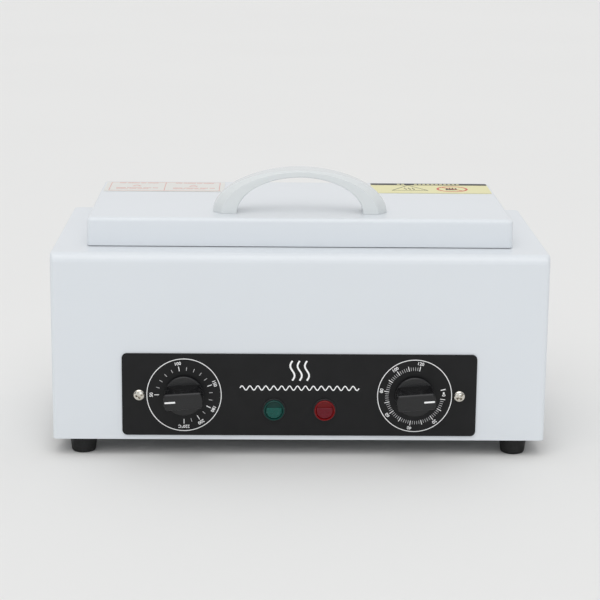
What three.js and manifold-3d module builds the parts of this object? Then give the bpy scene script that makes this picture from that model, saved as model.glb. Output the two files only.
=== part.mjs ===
// Desktop dry-heat steriliser cabinet: a sheet-steel box with a heated steel chamber under a hinged lid.
// Millimetres, +Z up. The front faces -Y and the cabinet stands on its feet at Z = 0.
import * as THREE from 'three';
import { mergeVertices } from 'three/addons/utils/BufferGeometryUtils.js';
import Module from 'manifold-3d';

const wasm = await Module();
wasm.setup();

// ---- Driving dimensions ----

// cabinet
const cabinetWidth = 340.8;
const cabinetDepth = 180;
const cabinetHeight = 131;
const sheet = 1;
const frontTopBend = 6;
const sideTopBend = 1.6;
const cornerBend = 3;
const fitGap = 0.3;

// feet
const footHeight = 12;
const footTopRadius = 9.6;
const footBottomRadius = 8.4;
const footInsetX = 20.1;
const footInsetY = 13.7;
const footRecessRadius = 4.6;
const footRecessDepth = 5;
const footLip = 0.7;
const footCollar = 1.5;
const footScrewReach = 6;

// base plate
const baseFlange = 10;
const baseScrewX = 60;
const baseScrewRise = 6;
const baseScrewLength = 6;
const ventLength = 26;
const ventWidth = 4;
const ventPitch = 12;
const ventsPerRow = 7;
const ventRowOffset = 36;
const ventShift = -8;

// lid
const lidSideSetback = 23.2;
const lidFrontSetback = 25;
const lidRearSetback = 2;
const lidThickness = 19.2;
const lidSheet = 1;
const lidBend = 2.8;
const lidGap = 1;
const lidSkirt = 0.5;
const plugDrop = 5;
const plugClearance = 4;
const innerSheet = 0.8;
const gasketInset = 3;
const gasketWidth = 6;
const screwHeadroom = 2.8;
const padClearance = 2;

// chamber
const lidOverlapSide = 21;
const lidOverlapFront = 18.5;
const chamberCorner = 10;
const linerWall = 0.8;
const linerFlange = 8;

// heater and insulation
const heaterMarginSide = 25;
const heaterMarginFront = 22;
const heaterThickness = 4;
const clampMarginSide = 25;
const clampMarginFront = 11;
const clampThickness = 1.2;
const studInset = 20;
const studRadius = 2;
const nutThickness = 3.2;
const nutAcrossFlats = 7;
const jacketWall = 9;
const jacketFloor = 6;
const jacketNutClearance = 2.5;
const heaterCorner = 3;
const cutoutRadius = 7.5;
const cutoutDepth = 8;
const cutoutFlange = 4;
const cutoutNeck = 2;
const bulbRadius = 3;
const bulbLength = 76;
const bulbRound = 0.8;
const capillaryRadius = 0.9;
const wireHoleRadius = 5;
const wireHoleOutset = 15;
const wireHoleInset = 8;
const bayClearance = 1.5;

// tray
const trayClearance = 2;
const trayRim = 4;
const trayHeadroom = 13.6;
const trayWall = 0.8;
const trayCorner = 7;
const trayHoleRadius = 2.6;
const trayHolePitch = 24;
const trayGripWidth = 60;
const trayGripHeight = 17;
const trayGripThickness = 1.2;
const trayGripCorner = 6;

// control panel
const panelSideMargin = 48.2;
const panelHeight = 58.2;
const panelThickness = 1.2;
const panelCorner = 3.5;
const panelLift = 3.3;
const dialInset = 42.7;
const dialDrop = 0.2;
const panelScrewInset = 11.8;
const panelScrewLength = 8;
const lampOffset = 17.5;
const lampDrop = 10.4;

// knobs
const knobRadius = 14;
const knobDiscThickness = 4;
const knobReach = 18;
const knobGap = 0.5;
const gripRootWidth = 16;
const gripFaceWidth = 11.3;
const gripFaceLength = 27;
const shaftRadius = 3;
const shaftFlat = 0.8;
const knobBoreDepth = 12;
const knobBevel = 0.8;
const shaftHoleClearance = 1.5;
const shaftRootDepth = 8;
const thermostatPointer = 184;
const timerPointer = 4.5;

// thermostat and timer
const thermostatSize = 34;
const thermostatDepth = 26;
const timerSize = 36;
const timerDepth = 38;
const bracketWidth = 50;
const bracketHeight = 18;
const bracketThickness = 1;
const terminalPitch = 9;
const terminalWidth = 6.2;
const terminalThickness = 0.8;
const terminalRise = 4;
const terminalLength = 7;

// lamps
const lampRimRadius = 7.9;
const lampRimThickness = 0.8;
const lensRadius = 7.2;
const lensReach = 3.6;
const lensSpigotRadius = 4.6;
const lensSpigotLength = 6;
const lampBarrelRadius = 6;
const lampBarrelLength = 27;
const lampBackWall = 6;
const lampTabPitch = 6;
const lampTabWidth = 2.8;
const lampTabThickness = 0.8;
const lampTabLength = 7;
const lensEdge = 0.9;

// handle
const handleSpan = 122;
const handleRise = 30.6;
const handleInnerSpan = 88;
const handleInnerRise = 25.7;
const handleDepth = 22;
const handleSetback = 17;
const handleBevel = 1.2;
const handleScrewSpacing = 104;
const handleBoreDepth = 10;

// hinges
const hingeInset = 51;
const hingePinOffset = 5;
const hingePinRadius = 1.5;
const knuckleRadius = 3.2;
const knuckleBore = 1.8;
const leafWidth = 44;
const leafHeight = 16;
const lidLeafHeight = 14;
const leafThickness = 1.2;
const centreKnuckle = 18;
const knuckleGap = 0.4;
const pinHead = 0.8;
const pinHeadThickness = 1;

// power inlet
const inletInset = 58.4;
const inletHeight = 36;
const inletFlangeWidth = 50;
const inletFlangeHeight = 23;
const inletFlangeThickness = 2.6;
const inletBodyWidth = 27;
const inletBodyHeight = 19.4;
const inletBodyDepth = 22;
const socketWidth = 24.4;
const socketHeight = 16.4;
const socketDepth = 16;
const inletScrewPitch = 40;
const inletScrewLength = 9;
const inletCorner = 4;
const pinSection = [2, 4];
const pinSpread = 7;
const pinRise = 2;
const pinTail = 8;

// terminal block, earth screw and wires; places are taken from the inlet's middle and the rear face
const terminalBlockSize = [44, 20, 16];
const terminalBlockPlace = [82, 50];
const polePitch = 14;
const poleRadius = 3;
const poleDepth = 7;
const earthScrewPlace = [42, 38];
const earthScrewLength = 6;
const wireRadius = 1.2;
const wireEntry = 8;
const wireEndGap = 1;

// labels
const labelThickness = 0.25;
const labelSideInset = 2.8;
const labelRearInset = 6;
const labelCorner = 1.5;
const programLabelSize = [89.4, 41];
const warningLabelSize = [88.6, 41.5];

// screws
const screwRadius = 1.6;
const screwHoleClearance = 0.3;
const panHeadRadius = 3.9;
const panHeadHeight = 2.2;
const lowHeadHeight = 1.8;
const footScrewHead = 3.5;
const baseScrewHead = 3.2;
const inletScrewHead = 3;

// rounding of curves
const ROUND = 20;
const SMALL_ROUND = 12;

// ---- Heights and places worked out from the sizes above ----

const shellBottom = footHeight;
const deckTop = shellBottom + cabinetHeight;
const frontFace = -cabinetDepth / 2;
const rearFace = cabinetDepth / 2;
const panelFace = frontFace - panelThickness;
const frontInside = frontFace + sheet;
const panelWidth = cabinetWidth - 2 * panelSideMargin;
const panelMiddle = shellBottom + panelLift + panelHeight / 2;
const panelScrewOffset = panelWidth / 2 - panelScrewInset;
const dialOffset = panelWidth / 2 - dialInset;
const dialZ = panelMiddle - dialDrop;
const lampZ = panelMiddle - lampDrop;

const lidWidth = cabinetWidth - 2 * lidSideSetback;
const lidFront = frontFace + lidFrontSetback;
const lidRear = rearFace - lidRearSetback;
const lidLength = lidRear - lidFront;
const lidMiddle = (lidFront + lidRear) / 2;
const lidBottom = deckTop + lidGap;
const lidTop = lidBottom + lidThickness;

// the chamber and its heater stand above the bay that holds the thermostat and the timer
const chamberWidth = lidWidth - 2 * lidOverlapSide;
const chamberLength = lidLength - 2 * lidOverlapFront;
const chamberMiddle = lidMiddle;
const jacketUnder = dialZ + Math.max(timerSize, thermostatSize) / 2 + bayClearance;
const jacketInside = jacketUnder + jacketFloor;
const nutUnder = jacketInside + jacketNutClearance;
const clampUnder = nutUnder + nutThickness;
const heaterUnder = clampUnder + clampThickness;
const linerUnder = heaterUnder + heaterThickness;
const chamberFloor = linerUnder + linerWall;
const flangeTop = deckTop - sheet;
const baseTop = shellBottom + sheet;
const heaterWidth = chamberWidth - 2 * heaterMarginSide;
const heaterLength = chamberLength - 2 * heaterMarginFront;
const clampWidth = heaterWidth - 2 * clampMarginSide;
const clampLength = heaterLength - 2 * clampMarginFront;
const studSpacing = clampWidth - 2 * studInset;
const trayTop = deckTop - plugDrop - trayHeadroom - trayGripHeight;
const linerWidth = chamberWidth + 2 * linerWall;
const linerLength = chamberLength + 2 * linerWall;
const linerCorner = chamberCorner + linerWall;
const plugWidth = chamberWidth - 2 * plugClearance;
const plugLength = chamberLength - 2 * plugClearance;
const handleY = lidFront + handleSetback + handleDepth / 2;

// the cut-out stands beside the heater, and the thermostat's bulb lies in front of it
const cutoutX = (heaterWidth / 2 + chamberWidth / 2) / 2;
const bulbY = chamberMiddle - (heaterLength / 2 + linerLength / 2) / 2;
const bulbZ = linerUnder - bulbRadius;
const wireHole = [-dialOffset - wireHoleOutset, chamberMiddle - chamberLength / 2 + wireHoleInset];

const pinY = rearFace + hingePinOffset;
const pinZ = deckTop + lidGap / 2;
const hingeSpacing = lidWidth - 2 * hingeInset;
const inletOffset = cabinetWidth / 2 - inletInset;
const inletZ = shellBottom + inletHeight;
const baseScrewZ = shellBottom + baseScrewRise;
const baseWidth = cabinetWidth - 2 * sheet - 2 * fitGap;
const baseLength = cabinetDepth - 2 * sheet - 2 * fitGap;
const earthPlace = [inletOffset - earthScrewPlace[0], rearFace - earthScrewPlace[1]];
const terminalPlace = [inletOffset - terminalBlockPlace[0], rearFace - terminalBlockPlace[1]];
const frontReach = cabinetDepth / 2 + panelThickness + knobReach;
const rearReach = cabinetDepth / 2 + hingePinOffset + knuckleRadius;

// ---- Materials ----

function finish(color, roughness, metalness) {
  return new THREE.MeshStandardMaterial({ color, roughness, metalness });
}

const whiteSteel = finish(0xe2e6ea, 0.35, 0.1);
const whitePlastic = finish(0xe4e7e8, 0.25, 0);
const blackPlate = finish(0x232323, 0.45, 0.1);
const blackPlastic = finish(0x1b1b1c, 0.25, 0);
const blackRubber = finish(0x1a1a1a, 0.8, 0);
const stainless = finish(0xb9bcbd, 0.3, 1);
const nickel = finish(0xd2cfc6, 0.25, 1);
const zincSteel = finish(0xa8abad, 0.4, 1);
const brass = finish(0xc2a14d, 0.3, 1);
const copper = finish(0xb87350, 0.3, 1);
const mica = finish(0x8c7f66, 0.8, 0);
const glassWool = finish(0xd9d3bd, 0.95, 0);
const gasketSilicone = finish(0x4a4846, 0.7, 0);
const greenLens = finish(0x0f6b55, 0.15, 0);
const redLens = finish(0x8e1a22, 0.15, 0);
const creamLabel = finish(0xe2e0db, 0.5, 0);
const yellowLabel = finish(0xe3dfb6, 0.5, 0);
const porcelain = finish(0xe8e4da, 0.4, 0);
const wireBrown = finish(0x6b3f22, 0.6, 0);
const wireBlue = finish(0x2f5f9c, 0.6, 0);
const wireGreen = finish(0x5a8f34, 0.6, 0);

// ---- Solid helpers ----

// A manifold solid from any closed three.js geometry.
function solid(geometry) {
  const bare = geometry.index ? geometry.clone() : geometry;
  bare.deleteAttribute('normal');
  bare.deleteAttribute('uv');
  const merged = mergeVertices(bare, 1e-4);
  return new wasm.Manifold(new wasm.Mesh({
    numProp: 3,
    vertProperties: new Float32Array(merged.attributes.position.array),
    triVerts: new Uint32Array(merged.index.array),
  }));
}

// A three.js geometry from a manifold solid.
function geometryOf(manifold) {
  const mesh = manifold.getMesh();
  const geometry = new THREE.BufferGeometry();
  geometry.setAttribute('position', new THREE.BufferAttribute(new Float32Array(mesh.vertProperties), 3));
  geometry.setIndex(new THREE.BufferAttribute(new Uint32Array(mesh.triVerts), 1));
  geometry.computeVertexNormals();
  return geometry;
}

// A block from its lowest to its highest corner.
function block(low, high) {
  const size = high.map((value, axis) => value - low[axis]);
  const geometry = new THREE.BoxGeometry(...size);
  geometry.translate(...low.map((value, axis) => value + size[axis] / 2));
  return solid(geometry);
}

// A rectangle with round corners, as an outline centred on the origin.
function roundedOutline(width, length, radius, steps = 4) {
  const shape = new THREE.Shape();
  const x = width / 2 - radius;
  const y = length / 2 - radius;
  const corners = [[x, y], [-x, y], [-x, -y], [x, -y]];
  const points = corners.flatMap(([cx, cy], corner) =>
    Array.from({ length: steps + 1 }, (_, i) => {
      const angle = (corner + i / steps) * Math.PI / 2;
      return new THREE.Vector2(cx + radius * Math.cos(angle), cy + radius * Math.sin(angle));
    }));
  shape.setFromPoints(points);
  return shape;
}

// An outline pushed along Z from one height to another.
function prism(shape, bottom, top) {
  const geometry = new THREE.ExtrudeGeometry(shape, { depth: top - bottom, bevelEnabled: false });
  geometry.translate(0, 0, bottom);
  return solid(geometry);
}

// A round-cornered plate centred on (x, y).
function plate(width, length, radius, bottom, top, x = 0, y = 0, steps = 4) {
  return prism(roundedOutline(width, length, radius, steps), bottom, top).translate([x, y, 0]);
}

// A turned solid about Z. Its [radius, height] points start and end on the axis or close on themselves.
function turned(profile, segments = ROUND) {
  const points = profile.map(([radius, height]) => new THREE.Vector2(radius, height));
  const geometry = new THREE.LatheGeometry(points, segments);
  geometry.rotateX(Math.PI / 2);
  return solid(geometry);
}

// A rod along Z.
function rod(radius, bottom, top, segments = SMALL_ROUND) {
  return turned([[0, bottom], [radius, bottom], [radius, top], [0, top]], segments);
}

// Turns a solid made along +Z so that it points to the front (-Y), and moves it to (x, y, z).
function facingFront(manifold, x, y, z) {
  return manifold.rotate([90, 0, 0]).translate([x, y, z]);
}

// Turns a solid made along +Z so that it points to the rear (+Y), and moves it to (x, y, z).
function facingRear(manifold, x, y, z) {
  return manifold.rotate([-90, 0, 0]).translate([x, y, z]);
}

// A quarter-round profile with a flat bottom and two bent upper corners, as an outline centred on x = 0.
function bentProfile(width, bottom, top, bend, steps = 4) {
  const x = width / 2 - bend;
  const arc = (centre, from) => Array.from({ length: steps + 1 }, (_, i) => {
    const angle = from + (i / steps) * Math.PI / 2;
    return new THREE.Vector2(centre + bend * Math.cos(angle), top - bend + bend * Math.sin(angle));
  });
  const lower = [new THREE.Vector2(-width / 2, bottom), new THREE.Vector2(width / 2, bottom)];
  return new THREE.Shape([...lower, ...arc(x, 0), ...arc(-x, Math.PI / 2)]);
}

// A folded-sheet block: round upright corners and bent upper edges.
function foldedBlock(width, length, bottom, top, corner, frontBend, sideBend) {
  const plan = plate(width, length, corner, bottom, top);
  const across = prism(bentProfile(width, bottom, top, sideBend), -length / 2, length / 2)
    .rotate([90, 0, 0]);
  const along = prism(bentProfile(length, bottom, top, frontBend), -width / 2, width / 2)
    .rotate([90, 0, 90]);
  return plan.intersect(across).intersect(along);
}

// A tube of the given radius through the points.
function tube(points, radius, steps, sides = 8) {
  const knots = points.map((point) => new THREE.Vector3(...point));
  const path = new THREE.CatmullRomCurve3(knots, false, 'centripetal');
  const section = new THREE.Shape();
  const ring = Array.from({ length: sides }, (_, i) => {
    const angle = (i / sides) * 2 * Math.PI;
    return new THREE.Vector2(radius * Math.cos(angle), radius * Math.sin(angle));
  });
  section.setFromPoints(ring);
  return solid(new THREE.ExtrudeGeometry(section, { steps, bevelEnabled: false, extrudePath: path }));
}

// A pan-head screw along +Z: the head's seat is at zero and the shank runs down to -length.
function panScrew(headRadius, headHeight, shankRadius, length) {
  return turned([
    [0, -length],
    [shankRadius, -length],
    [shankRadius, 0],
    [headRadius, 0],
    [headRadius, headHeight * 0.45],
    [headRadius * 0.72, headHeight * 0.9],
    [0, headHeight],
  ], SMALL_ROUND);
}

// ---- The object ----

const steriliser = new THREE.Group();
steriliser.position.y = (frontReach - rearReach) / 2;

function add(name, manifold, material, group = steriliser) {
  const mesh = new THREE.Mesh(geometryOf(manifold), material);
  mesh.name = name;
  group.add(mesh);
  return mesh;
}

// ---- Cabinet ----

const footPlaces = [
  ['front_left', -1, -1],
  ['front_right', 1, -1],
  ['rear_left', -1, 1],
  ['rear_right', 1, 1],
].map(([name, sideX, sideY]) => ({
  name,
  x: sideX * (cabinetWidth / 2 - footInsetX),
  y: sideY * (cabinetDepth / 2 - footInsetY),
}));

const sides = [['left', -1], ['right', 1]];

// the bore that a screw passes through, about Z
function screwHole(bottom, top, radius = screwRadius) {
  return rod(radius + screwHoleClearance, bottom, top, SMALL_ROUND);
}

function outerShell() {
  let shell = foldedBlock(
    cabinetWidth, cabinetDepth, shellBottom, deckTop, cornerBend, frontTopBend, sideTopBend);
  const hollow = foldedBlock(
    cabinetWidth - 2 * sheet, cabinetDepth - 2 * sheet, shellBottom - sheet, deckTop - sheet,
    cornerBend - sheet, frontTopBend - sheet, sideTopBend - sheet);
  shell = shell.subtract(hollow);
  const mouth = plate(
    chamberWidth, chamberLength, chamberCorner, flangeTop - sheet, lidBottom, 0, chamberMiddle);
  shell = shell.subtract(mouth);
  for (const [, side] of sides) {
    const shaftHole = rod(shaftRadius + shaftHoleClearance, -2 * sheet, sheet);
    shell = shell.subtract(facingFront(shaftHole, side * dialOffset, frontFace, dialZ));
    const lampHole = rod(lampBarrelRadius + fitGap, -2 * sheet, sheet, ROUND);
    shell = shell.subtract(facingFront(lampHole, side * lampOffset, frontFace, lampZ));
    const panelHole = screwHole(-2 * sheet, sheet);
    shell = shell.subtract(facingFront(panelHole, side * panelScrewOffset, frontFace, dialZ));
    const baseHole = screwHole(-2 * sheet, sheet);
    shell = shell.subtract(facingRear(baseHole, side * baseScrewX, rearFace, baseScrewZ));
    const inletHole = screwHole(-2 * sheet, sheet);
    const inletScrewX = inletOffset + side * inletScrewPitch / 2;
    shell = shell.subtract(facingRear(inletHole, inletScrewX, rearFace, inletZ));
  }
  const mouthX = inletBodyWidth / 2 + fitGap;
  const mouthZ = inletBodyHeight / 2 + fitGap;
  const inletMouth = block(
    [inletOffset - mouthX, rearFace - 2 * sheet, inletZ - mouthZ],
    [inletOffset + mouthX, rearFace + sheet, inletZ + mouthZ]);
  return shell.subtract(inletMouth);
}

function basePlate() {
  let base = plate(baseWidth, baseLength, cornerBend - sheet, shellBottom, shellBottom + baseFlange);
  base = base.subtract(plate(
    baseWidth - 2 * sheet, baseLength - 2 * sheet, cornerBend - 1.5 * sheet, baseTop, deckTop));
  for (const foot of footPlaces) {
    base = base.subtract(screwHole(0, deckTop).translate([foot.x, foot.y, 0]));
  }
  for (const row of [-1, 1]) {
    for (let i = 0; i < ventsPerRow; i += 1) {
      const x = (i - (ventsPerRow - 1) / 2) * ventPitch;
      const y = row * ventRowOffset + ventShift;
      base = base.subtract(plate(
        ventWidth, ventLength, ventWidth / 2 - 0.1, 0, baseTop + sheet, x, y, 2));
    }
  }
  for (const [, side] of sides) {
    const hole = screwHole(-3 * sheet, 3 * sheet);
    base = base.subtract(facingRear(hole, side * baseScrewX, baseLength / 2, baseScrewZ));
  }
  return base.subtract(screwHole(0, baseTop + sheet).translate([...earthPlace, 0]));
}

function foot() {
  const bore = screwRadius + screwHoleClearance;
  return turned([
    [bore, footHeight],
    [bore, footRecessDepth],
    [footRecessRadius, footRecessDepth],
    [footRecessRadius, 0],
    [footBottomRadius - footLip, 0],
    [footBottomRadius, footLip],
    [footTopRadius, footHeight - footCollar],
    [footTopRadius, footHeight],
    [bore, footHeight],
  ]);
}

// The screw's head sits in the foot's recess, and its shank runs up through the base plate.
function footScrew() {
  const length = footHeight - footRecessDepth + footScrewReach;
  return panScrew(footScrewHead, panHeadHeight, screwRadius, length)
    .rotate([180, 0, 0])
    .translate([0, 0, footRecessDepth]);
}

// ---- Control panel ----

function controlPanel() {
  const outline = roundedOutline(panelWidth, panelHeight, panelCorner);
  let panel = facingFront(prism(outline, 0, panelThickness), 0, frontFace, panelMiddle);
  for (const [, side] of sides) {
    const shaftHole = rod(shaftRadius + shaftHoleClearance, -sheet, panelThickness + sheet);
    panel = panel.subtract(facingFront(shaftHole, side * dialOffset, frontFace, dialZ));
    const lampHole = rod(lampBarrelRadius + fitGap, -sheet, panelThickness + sheet, ROUND);
    panel = panel.subtract(facingFront(lampHole, side * lampOffset, frontFace, lampZ));
    const hole = screwHole(-sheet, panelThickness + sheet);
    panel = panel.subtract(facingFront(hole, side * panelScrewOffset, frontFace, dialZ));
  }
  return panel;
}

// Knob along +Z with its pointer end along +X; zero is the panel's face.
function knob() {
  let body = turned([
    [0, knobGap],
    [knobRadius, knobGap],
    [knobRadius, knobDiscThickness - knobBevel],
    [knobRadius - knobBevel, knobDiscThickness],
    [0, knobDiscThickness],
  ], 32);
  const section = new THREE.Shape([
    new THREE.Vector2(-gripRootWidth / 2, knobDiscThickness - knobBevel),
    new THREE.Vector2(gripRootWidth / 2, knobDiscThickness - knobBevel),
    new THREE.Vector2(gripFaceWidth / 2, knobReach - knobBevel),
    new THREE.Vector2(gripFaceWidth / 2 - knobBevel, knobReach),
    new THREE.Vector2(knobBevel - gripFaceWidth / 2, knobReach),
    new THREE.Vector2(-gripFaceWidth / 2, knobReach - knobBevel),
  ]);
  const bar = prism(section, -gripFaceLength, gripFaceLength).rotate([90, 0, 90]);
  const cone = turned([
    [0, 0],
    [knobRadius - knobBevel / 2, 0],
    [gripFaceLength / 2, knobReach],
    [0, knobReach],
  ], 32);
  body = body.add(bar.intersect(cone));
  return body.subtract(rod(shaftRadius + fitGap, 0, knobBoreDepth, SMALL_ROUND));
}

// D-shaft along +Z from inside the thermostat or timer into the knob; zero is the panel's face.
function dialShaft() {
  const root = -(panelThickness + sheet + bracketThickness + shaftRootDepth);
  const round = rod(shaftRadius, root, knobBoreDepth - fitGap, SMALL_ROUND);
  const flat = block(
    [-2 * shaftRadius, shaftRadius - shaftFlat, 0], [2 * shaftRadius, 2 * shaftRadius, knobReach]);
  return round.subtract(flat);
}

// Puts the knob and its shaft on the panel, with the pointer at an angle counter-clockwise from +X.
function addDial(name, x, pointer) {
  const group = new THREE.Group();
  group.position.set(x, panelFace, dialZ);
  group.rotation.x = Math.PI / 2;
  steriliser.add(group);
  const turn = THREE.MathUtils.degToRad(pointer);
  add(`${name}_knob`, knob(), blackPlastic, group).rotation.z = turn;
  add(`${name}_shaft`, dialShaft(), zincSteel, group).rotation.z = turn;
}

// A dial mechanism along -Z behind the front wall; zero is the inside of the wall.
function dialMechanism(size, depth) {
  const half = size / 2;
  let body = block([-half, -half, -depth], [half, half, -bracketThickness]);
  const bracket = block(
    [-bracketWidth / 2, -bracketHeight / 2, -bracketThickness],
    [bracketWidth / 2, bracketHeight / 2, 0]);
  body = body.add(bracket);
  for (const step of [-1, 0, 1]) {
    const x = step * terminalPitch;
    const tab = block(
      [x - terminalWidth / 2, terminalRise, -depth - terminalLength],
      [x + terminalWidth / 2, terminalRise + terminalThickness, -depth + 1]);
    body = body.add(tab);
  }
  return body.subtract(rod(shaftRadius + fitGap, -bracketThickness - shaftRootDepth - 1, 1));
}

// Pilot lamp body along +Z; zero is the panel's face. The barrel is open to the front.
function lampBody() {
  const bore = lensSpigotRadius + fitGap;
  const back = lampRimThickness - lampBarrelLength;
  let body = turned([
    [0, back],
    [lampBarrelRadius, back],
    [lampBarrelRadius, 0],
    [lampRimRadius, 0],
    [lampRimRadius, lampRimThickness],
    [bore, lampRimThickness],
    [bore, back + lampBackWall],
    [0, back + lampBackWall],
  ]);
  for (const [, side] of sides) {
    const x = side * lampTabPitch / 2;
    const tab = block(
      [x - lampTabThickness / 2, -lampTabWidth / 2, back - lampTabLength],
      [x + lampTabThickness / 2, lampTabWidth / 2, back + 1]);
    body = body.add(tab);
  }
  return body;
}

function lampLens() {
  const seat = lampRimThickness;
  return turned([
    [0, seat - lensSpigotLength],
    [lensSpigotRadius, seat - lensSpigotLength],
    [lensSpigotRadius, seat],
    [lensRadius, seat],
    [lensRadius, lensReach - lensEdge],
    [lensRadius - lensEdge, lensReach],
    [0, lensReach],
  ]);
}

// ---- Chamber ----

function chamberLiner() {
  let liner = plate(linerWidth, linerLength, linerCorner, linerUnder, flangeTop);
  const flange = plate(
    linerWidth + 2 * linerFlange, linerLength + 2 * linerFlange, linerCorner,
    flangeTop - linerWall, flangeTop);
  liner = liner.add(flange);
  liner = liner.subtract(plate(chamberWidth, chamberLength, chamberCorner, chamberFloor, deckTop));
  for (const [, side] of sides) {
    liner = liner.add(rod(studRadius, nutUnder - 1, linerUnder + linerWall / 2)
      .translate([side * studSpacing / 2, 0, 0]));
  }
  return liner.translate([0, chamberMiddle, 0]);
}

// A plate under the chamber with holes for the two studs.
function studdedPlate(width, length, bottom, top) {
  let result = plate(width, length, heaterCorner, bottom, top);
  for (const [, side] of sides) {
    result = result.subtract(rod(studRadius + fitGap, bottom - 1, top + 1)
      .translate([side * studSpacing / 2, 0, 0]));
  }
  return result.translate([0, chamberMiddle, 0]);
}

function heaterNut() {
  const nut = turned([
    [0, nutUnder],
    [nutAcrossFlats / Math.sqrt(3), nutUnder],
    [nutAcrossFlats / Math.sqrt(3), clampUnder],
    [0, clampUnder],
  ], 6);
  return nut.subtract(rod(studRadius + fitGap, nutUnder - 1, clampUnder + 1));
}

function insulationJacket() {
  const width = linerWidth + 2 * fitGap;
  const length = linerLength + 2 * fitGap;
  const top = flangeTop - linerWall - fitGap;
  let jacket = plate(
    width + 2 * jacketWall, length + 2 * jacketWall, linerCorner + jacketWall, jacketUnder, top);
  jacket = jacket.subtract(plate(width, length, linerCorner, jacketInside, deckTop));
  jacket = jacket.translate([0, chamberMiddle, 0]);
  const hole = rod(wireHoleRadius, jacketUnder - 1, jacketInside + 1);
  return jacket.subtract(hole.translate([...wireHole, 0]));
}

// Bulb under the chamber with its capillary down to the thermostat's back.
function capillary() {
  const bulbEnd = -bulbLength / 2;
  const bulb = turned([
    [0, 0],
    [bulbRadius - bulbRound, 0],
    [bulbRadius, bulbRound],
    [bulbRadius, bulbLength - bulbRound],
    [bulbRadius - bulbRound, bulbLength],
    [0, bulbLength],
  ], SMALL_ROUND)
    .rotate([0, 90, 0])
    .translate([bulbEnd, bulbY, bulbZ]);
  const thermostatBack = frontInside + thermostatDepth;
  const rootX = -dialOffset - 8;
  const rootZ = dialZ - 4;
  const line = tube([
    [bulbEnd + 4, bulbY, bulbZ],
    [bulbEnd - 20, bulbY, bulbZ],
    [wireHole[0] + 10, wireHole[1], bulbZ - 2],
    [wireHole[0], wireHole[1], jacketInside],
    [wireHole[0], wireHole[1], jacketUnder - 3],
    [wireHole[0] + 4, thermostatBack + 14, dialZ + 8],
    [rootX, thermostatBack + 9, rootZ],
    [rootX, thermostatBack + fitGap, rootZ],
  ], capillaryRadius, 34, 6);
  return bulb.add(line);
}

function thermalCutout() {
  const body = turned([
    [0, -cutoutDepth],
    [cutoutRadius - cutoutNeck, -cutoutDepth],
    [cutoutRadius - cutoutNeck, -cutoutFlange],
    [cutoutRadius, -cutoutFlange],
    [cutoutRadius, 0],
    [0, 0],
  ]);
  return body.translate([cutoutX, chamberMiddle, linerUnder]);
}

// ---- Electrical parts on the base plate ----

function terminalBlock() {
  const [x, y] = terminalPlace;
  const [width, length, height] = terminalBlockSize;
  const top = baseTop + height;
  let body = block([x - width / 2, y - length / 2, baseTop], [x + width / 2, y + length / 2, top]);
  for (const pole of [-1, 0, 1]) {
    const well = rod(poleRadius, top - poleDepth, top + 1);
    body = body.subtract(well.translate([x + pole * polePitch, y, 0]));
  }
  return body;
}

function earthScrew() {
  return panScrew(panHeadRadius, panHeadHeight, screwRadius, earthScrewLength)
    .translate([...earthPlace, baseTop]);
}

// The wires' ends stop just short of what they serve; the points between are where each wire is dressed.
function wires() {
  const [terminalX, terminalY] = terminalPlace;
  const [earthX, earthY] = earthPlace;
  const inletBack = rearFace - inletBodyDepth - pinTail - wireEndGap;
  const entry = baseTop + wireEntry;
  const poleX = terminalX + polePitch;
  const blockRear = terminalY + terminalBlockSize[1] / 2 + fitGap;
  const blockFront = terminalY - terminalBlockSize[1] / 2 - fitGap;
  return [
    ['live_wire', wireBrown, [
      [inletOffset - pinSpread, inletBack, inletZ - pinRise],
      [inletOffset - pinSpread - 2, inletBack - 12, inletZ - 8],
      [terminalX + 48, terminalY + 22, entry + 4],
      [poleX, terminalY + 20, entry],
      [poleX, blockRear, entry],
    ]],
    ['neutral_wire', wireBlue, [
      [inletOffset + pinSpread, inletBack, inletZ - pinRise],
      [inletOffset + pinSpread - 2, inletBack - 20, inletZ - 14],
      [terminalX + 60, terminalY - 4, baseTop + 3],
      [terminalX + 38, terminalY - 26, entry],
      [poleX, terminalY - 24, entry],
      [poleX, blockFront, entry],
    ]],
    ['earth_wire', wireGreen, [
      [inletOffset, inletBack, inletZ + pinRise],
      [inletOffset, inletBack - 6, inletZ + pinRise - 6],
      [earthX + 22, earthY - 10, baseTop + 10],
      [earthX + 5, earthY - 3, baseTop + 2],
    ]],
  ];
}

// ---- Power inlet on the rear wall ----

// Seen from the rear, local +X is the object's +X and local +Y points down.
const inletPins = [
  ['live_pin', -pinSpread, pinRise],
  ['neutral_pin', pinSpread, pinRise],
  ['earth_pin', 0, -pinRise],
];

function inletBody() {
  const face = inletFlangeThickness;
  const flange = plate(inletFlangeWidth, inletFlangeHeight, inletCorner, 0, face);
  const barrel = plate(inletBodyWidth, inletBodyHeight, inletCorner / 2, -inletBodyDepth, face / 2);
  const recess = plate(socketWidth, socketHeight, inletCorner - 1, face - socketDepth, face + 1);
  let body = flange.add(barrel).subtract(recess);
  for (const [, side] of sides) {
    const hole = screwHole(-1, face + 1);
    body = body.subtract(hole.translate([side * inletScrewPitch / 2, 0, 0]));
  }
  for (const [, x, y] of inletPins) {
    const [thick, tall] = pinSection.map((size) => size / 2 + fitGap);
    const slot = block([x - thick, y - tall, -inletBodyDepth - 1], [x + thick, y + tall, 0]);
    body = body.subtract(slot);
  }
  return facingRear(body, inletOffset, rearFace, inletZ);
}

function inletPin(x, y) {
  const [thick, tall] = pinSection.map((size) => size / 2);
  const blade = block(
    [x - thick, y - tall, -inletBodyDepth - pinTail], [x + thick, y + tall, inletFlangeThickness - 1]);
  return facingRear(blade, inletOffset, rearFace, inletZ);
}

// ---- Hinges ----

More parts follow.
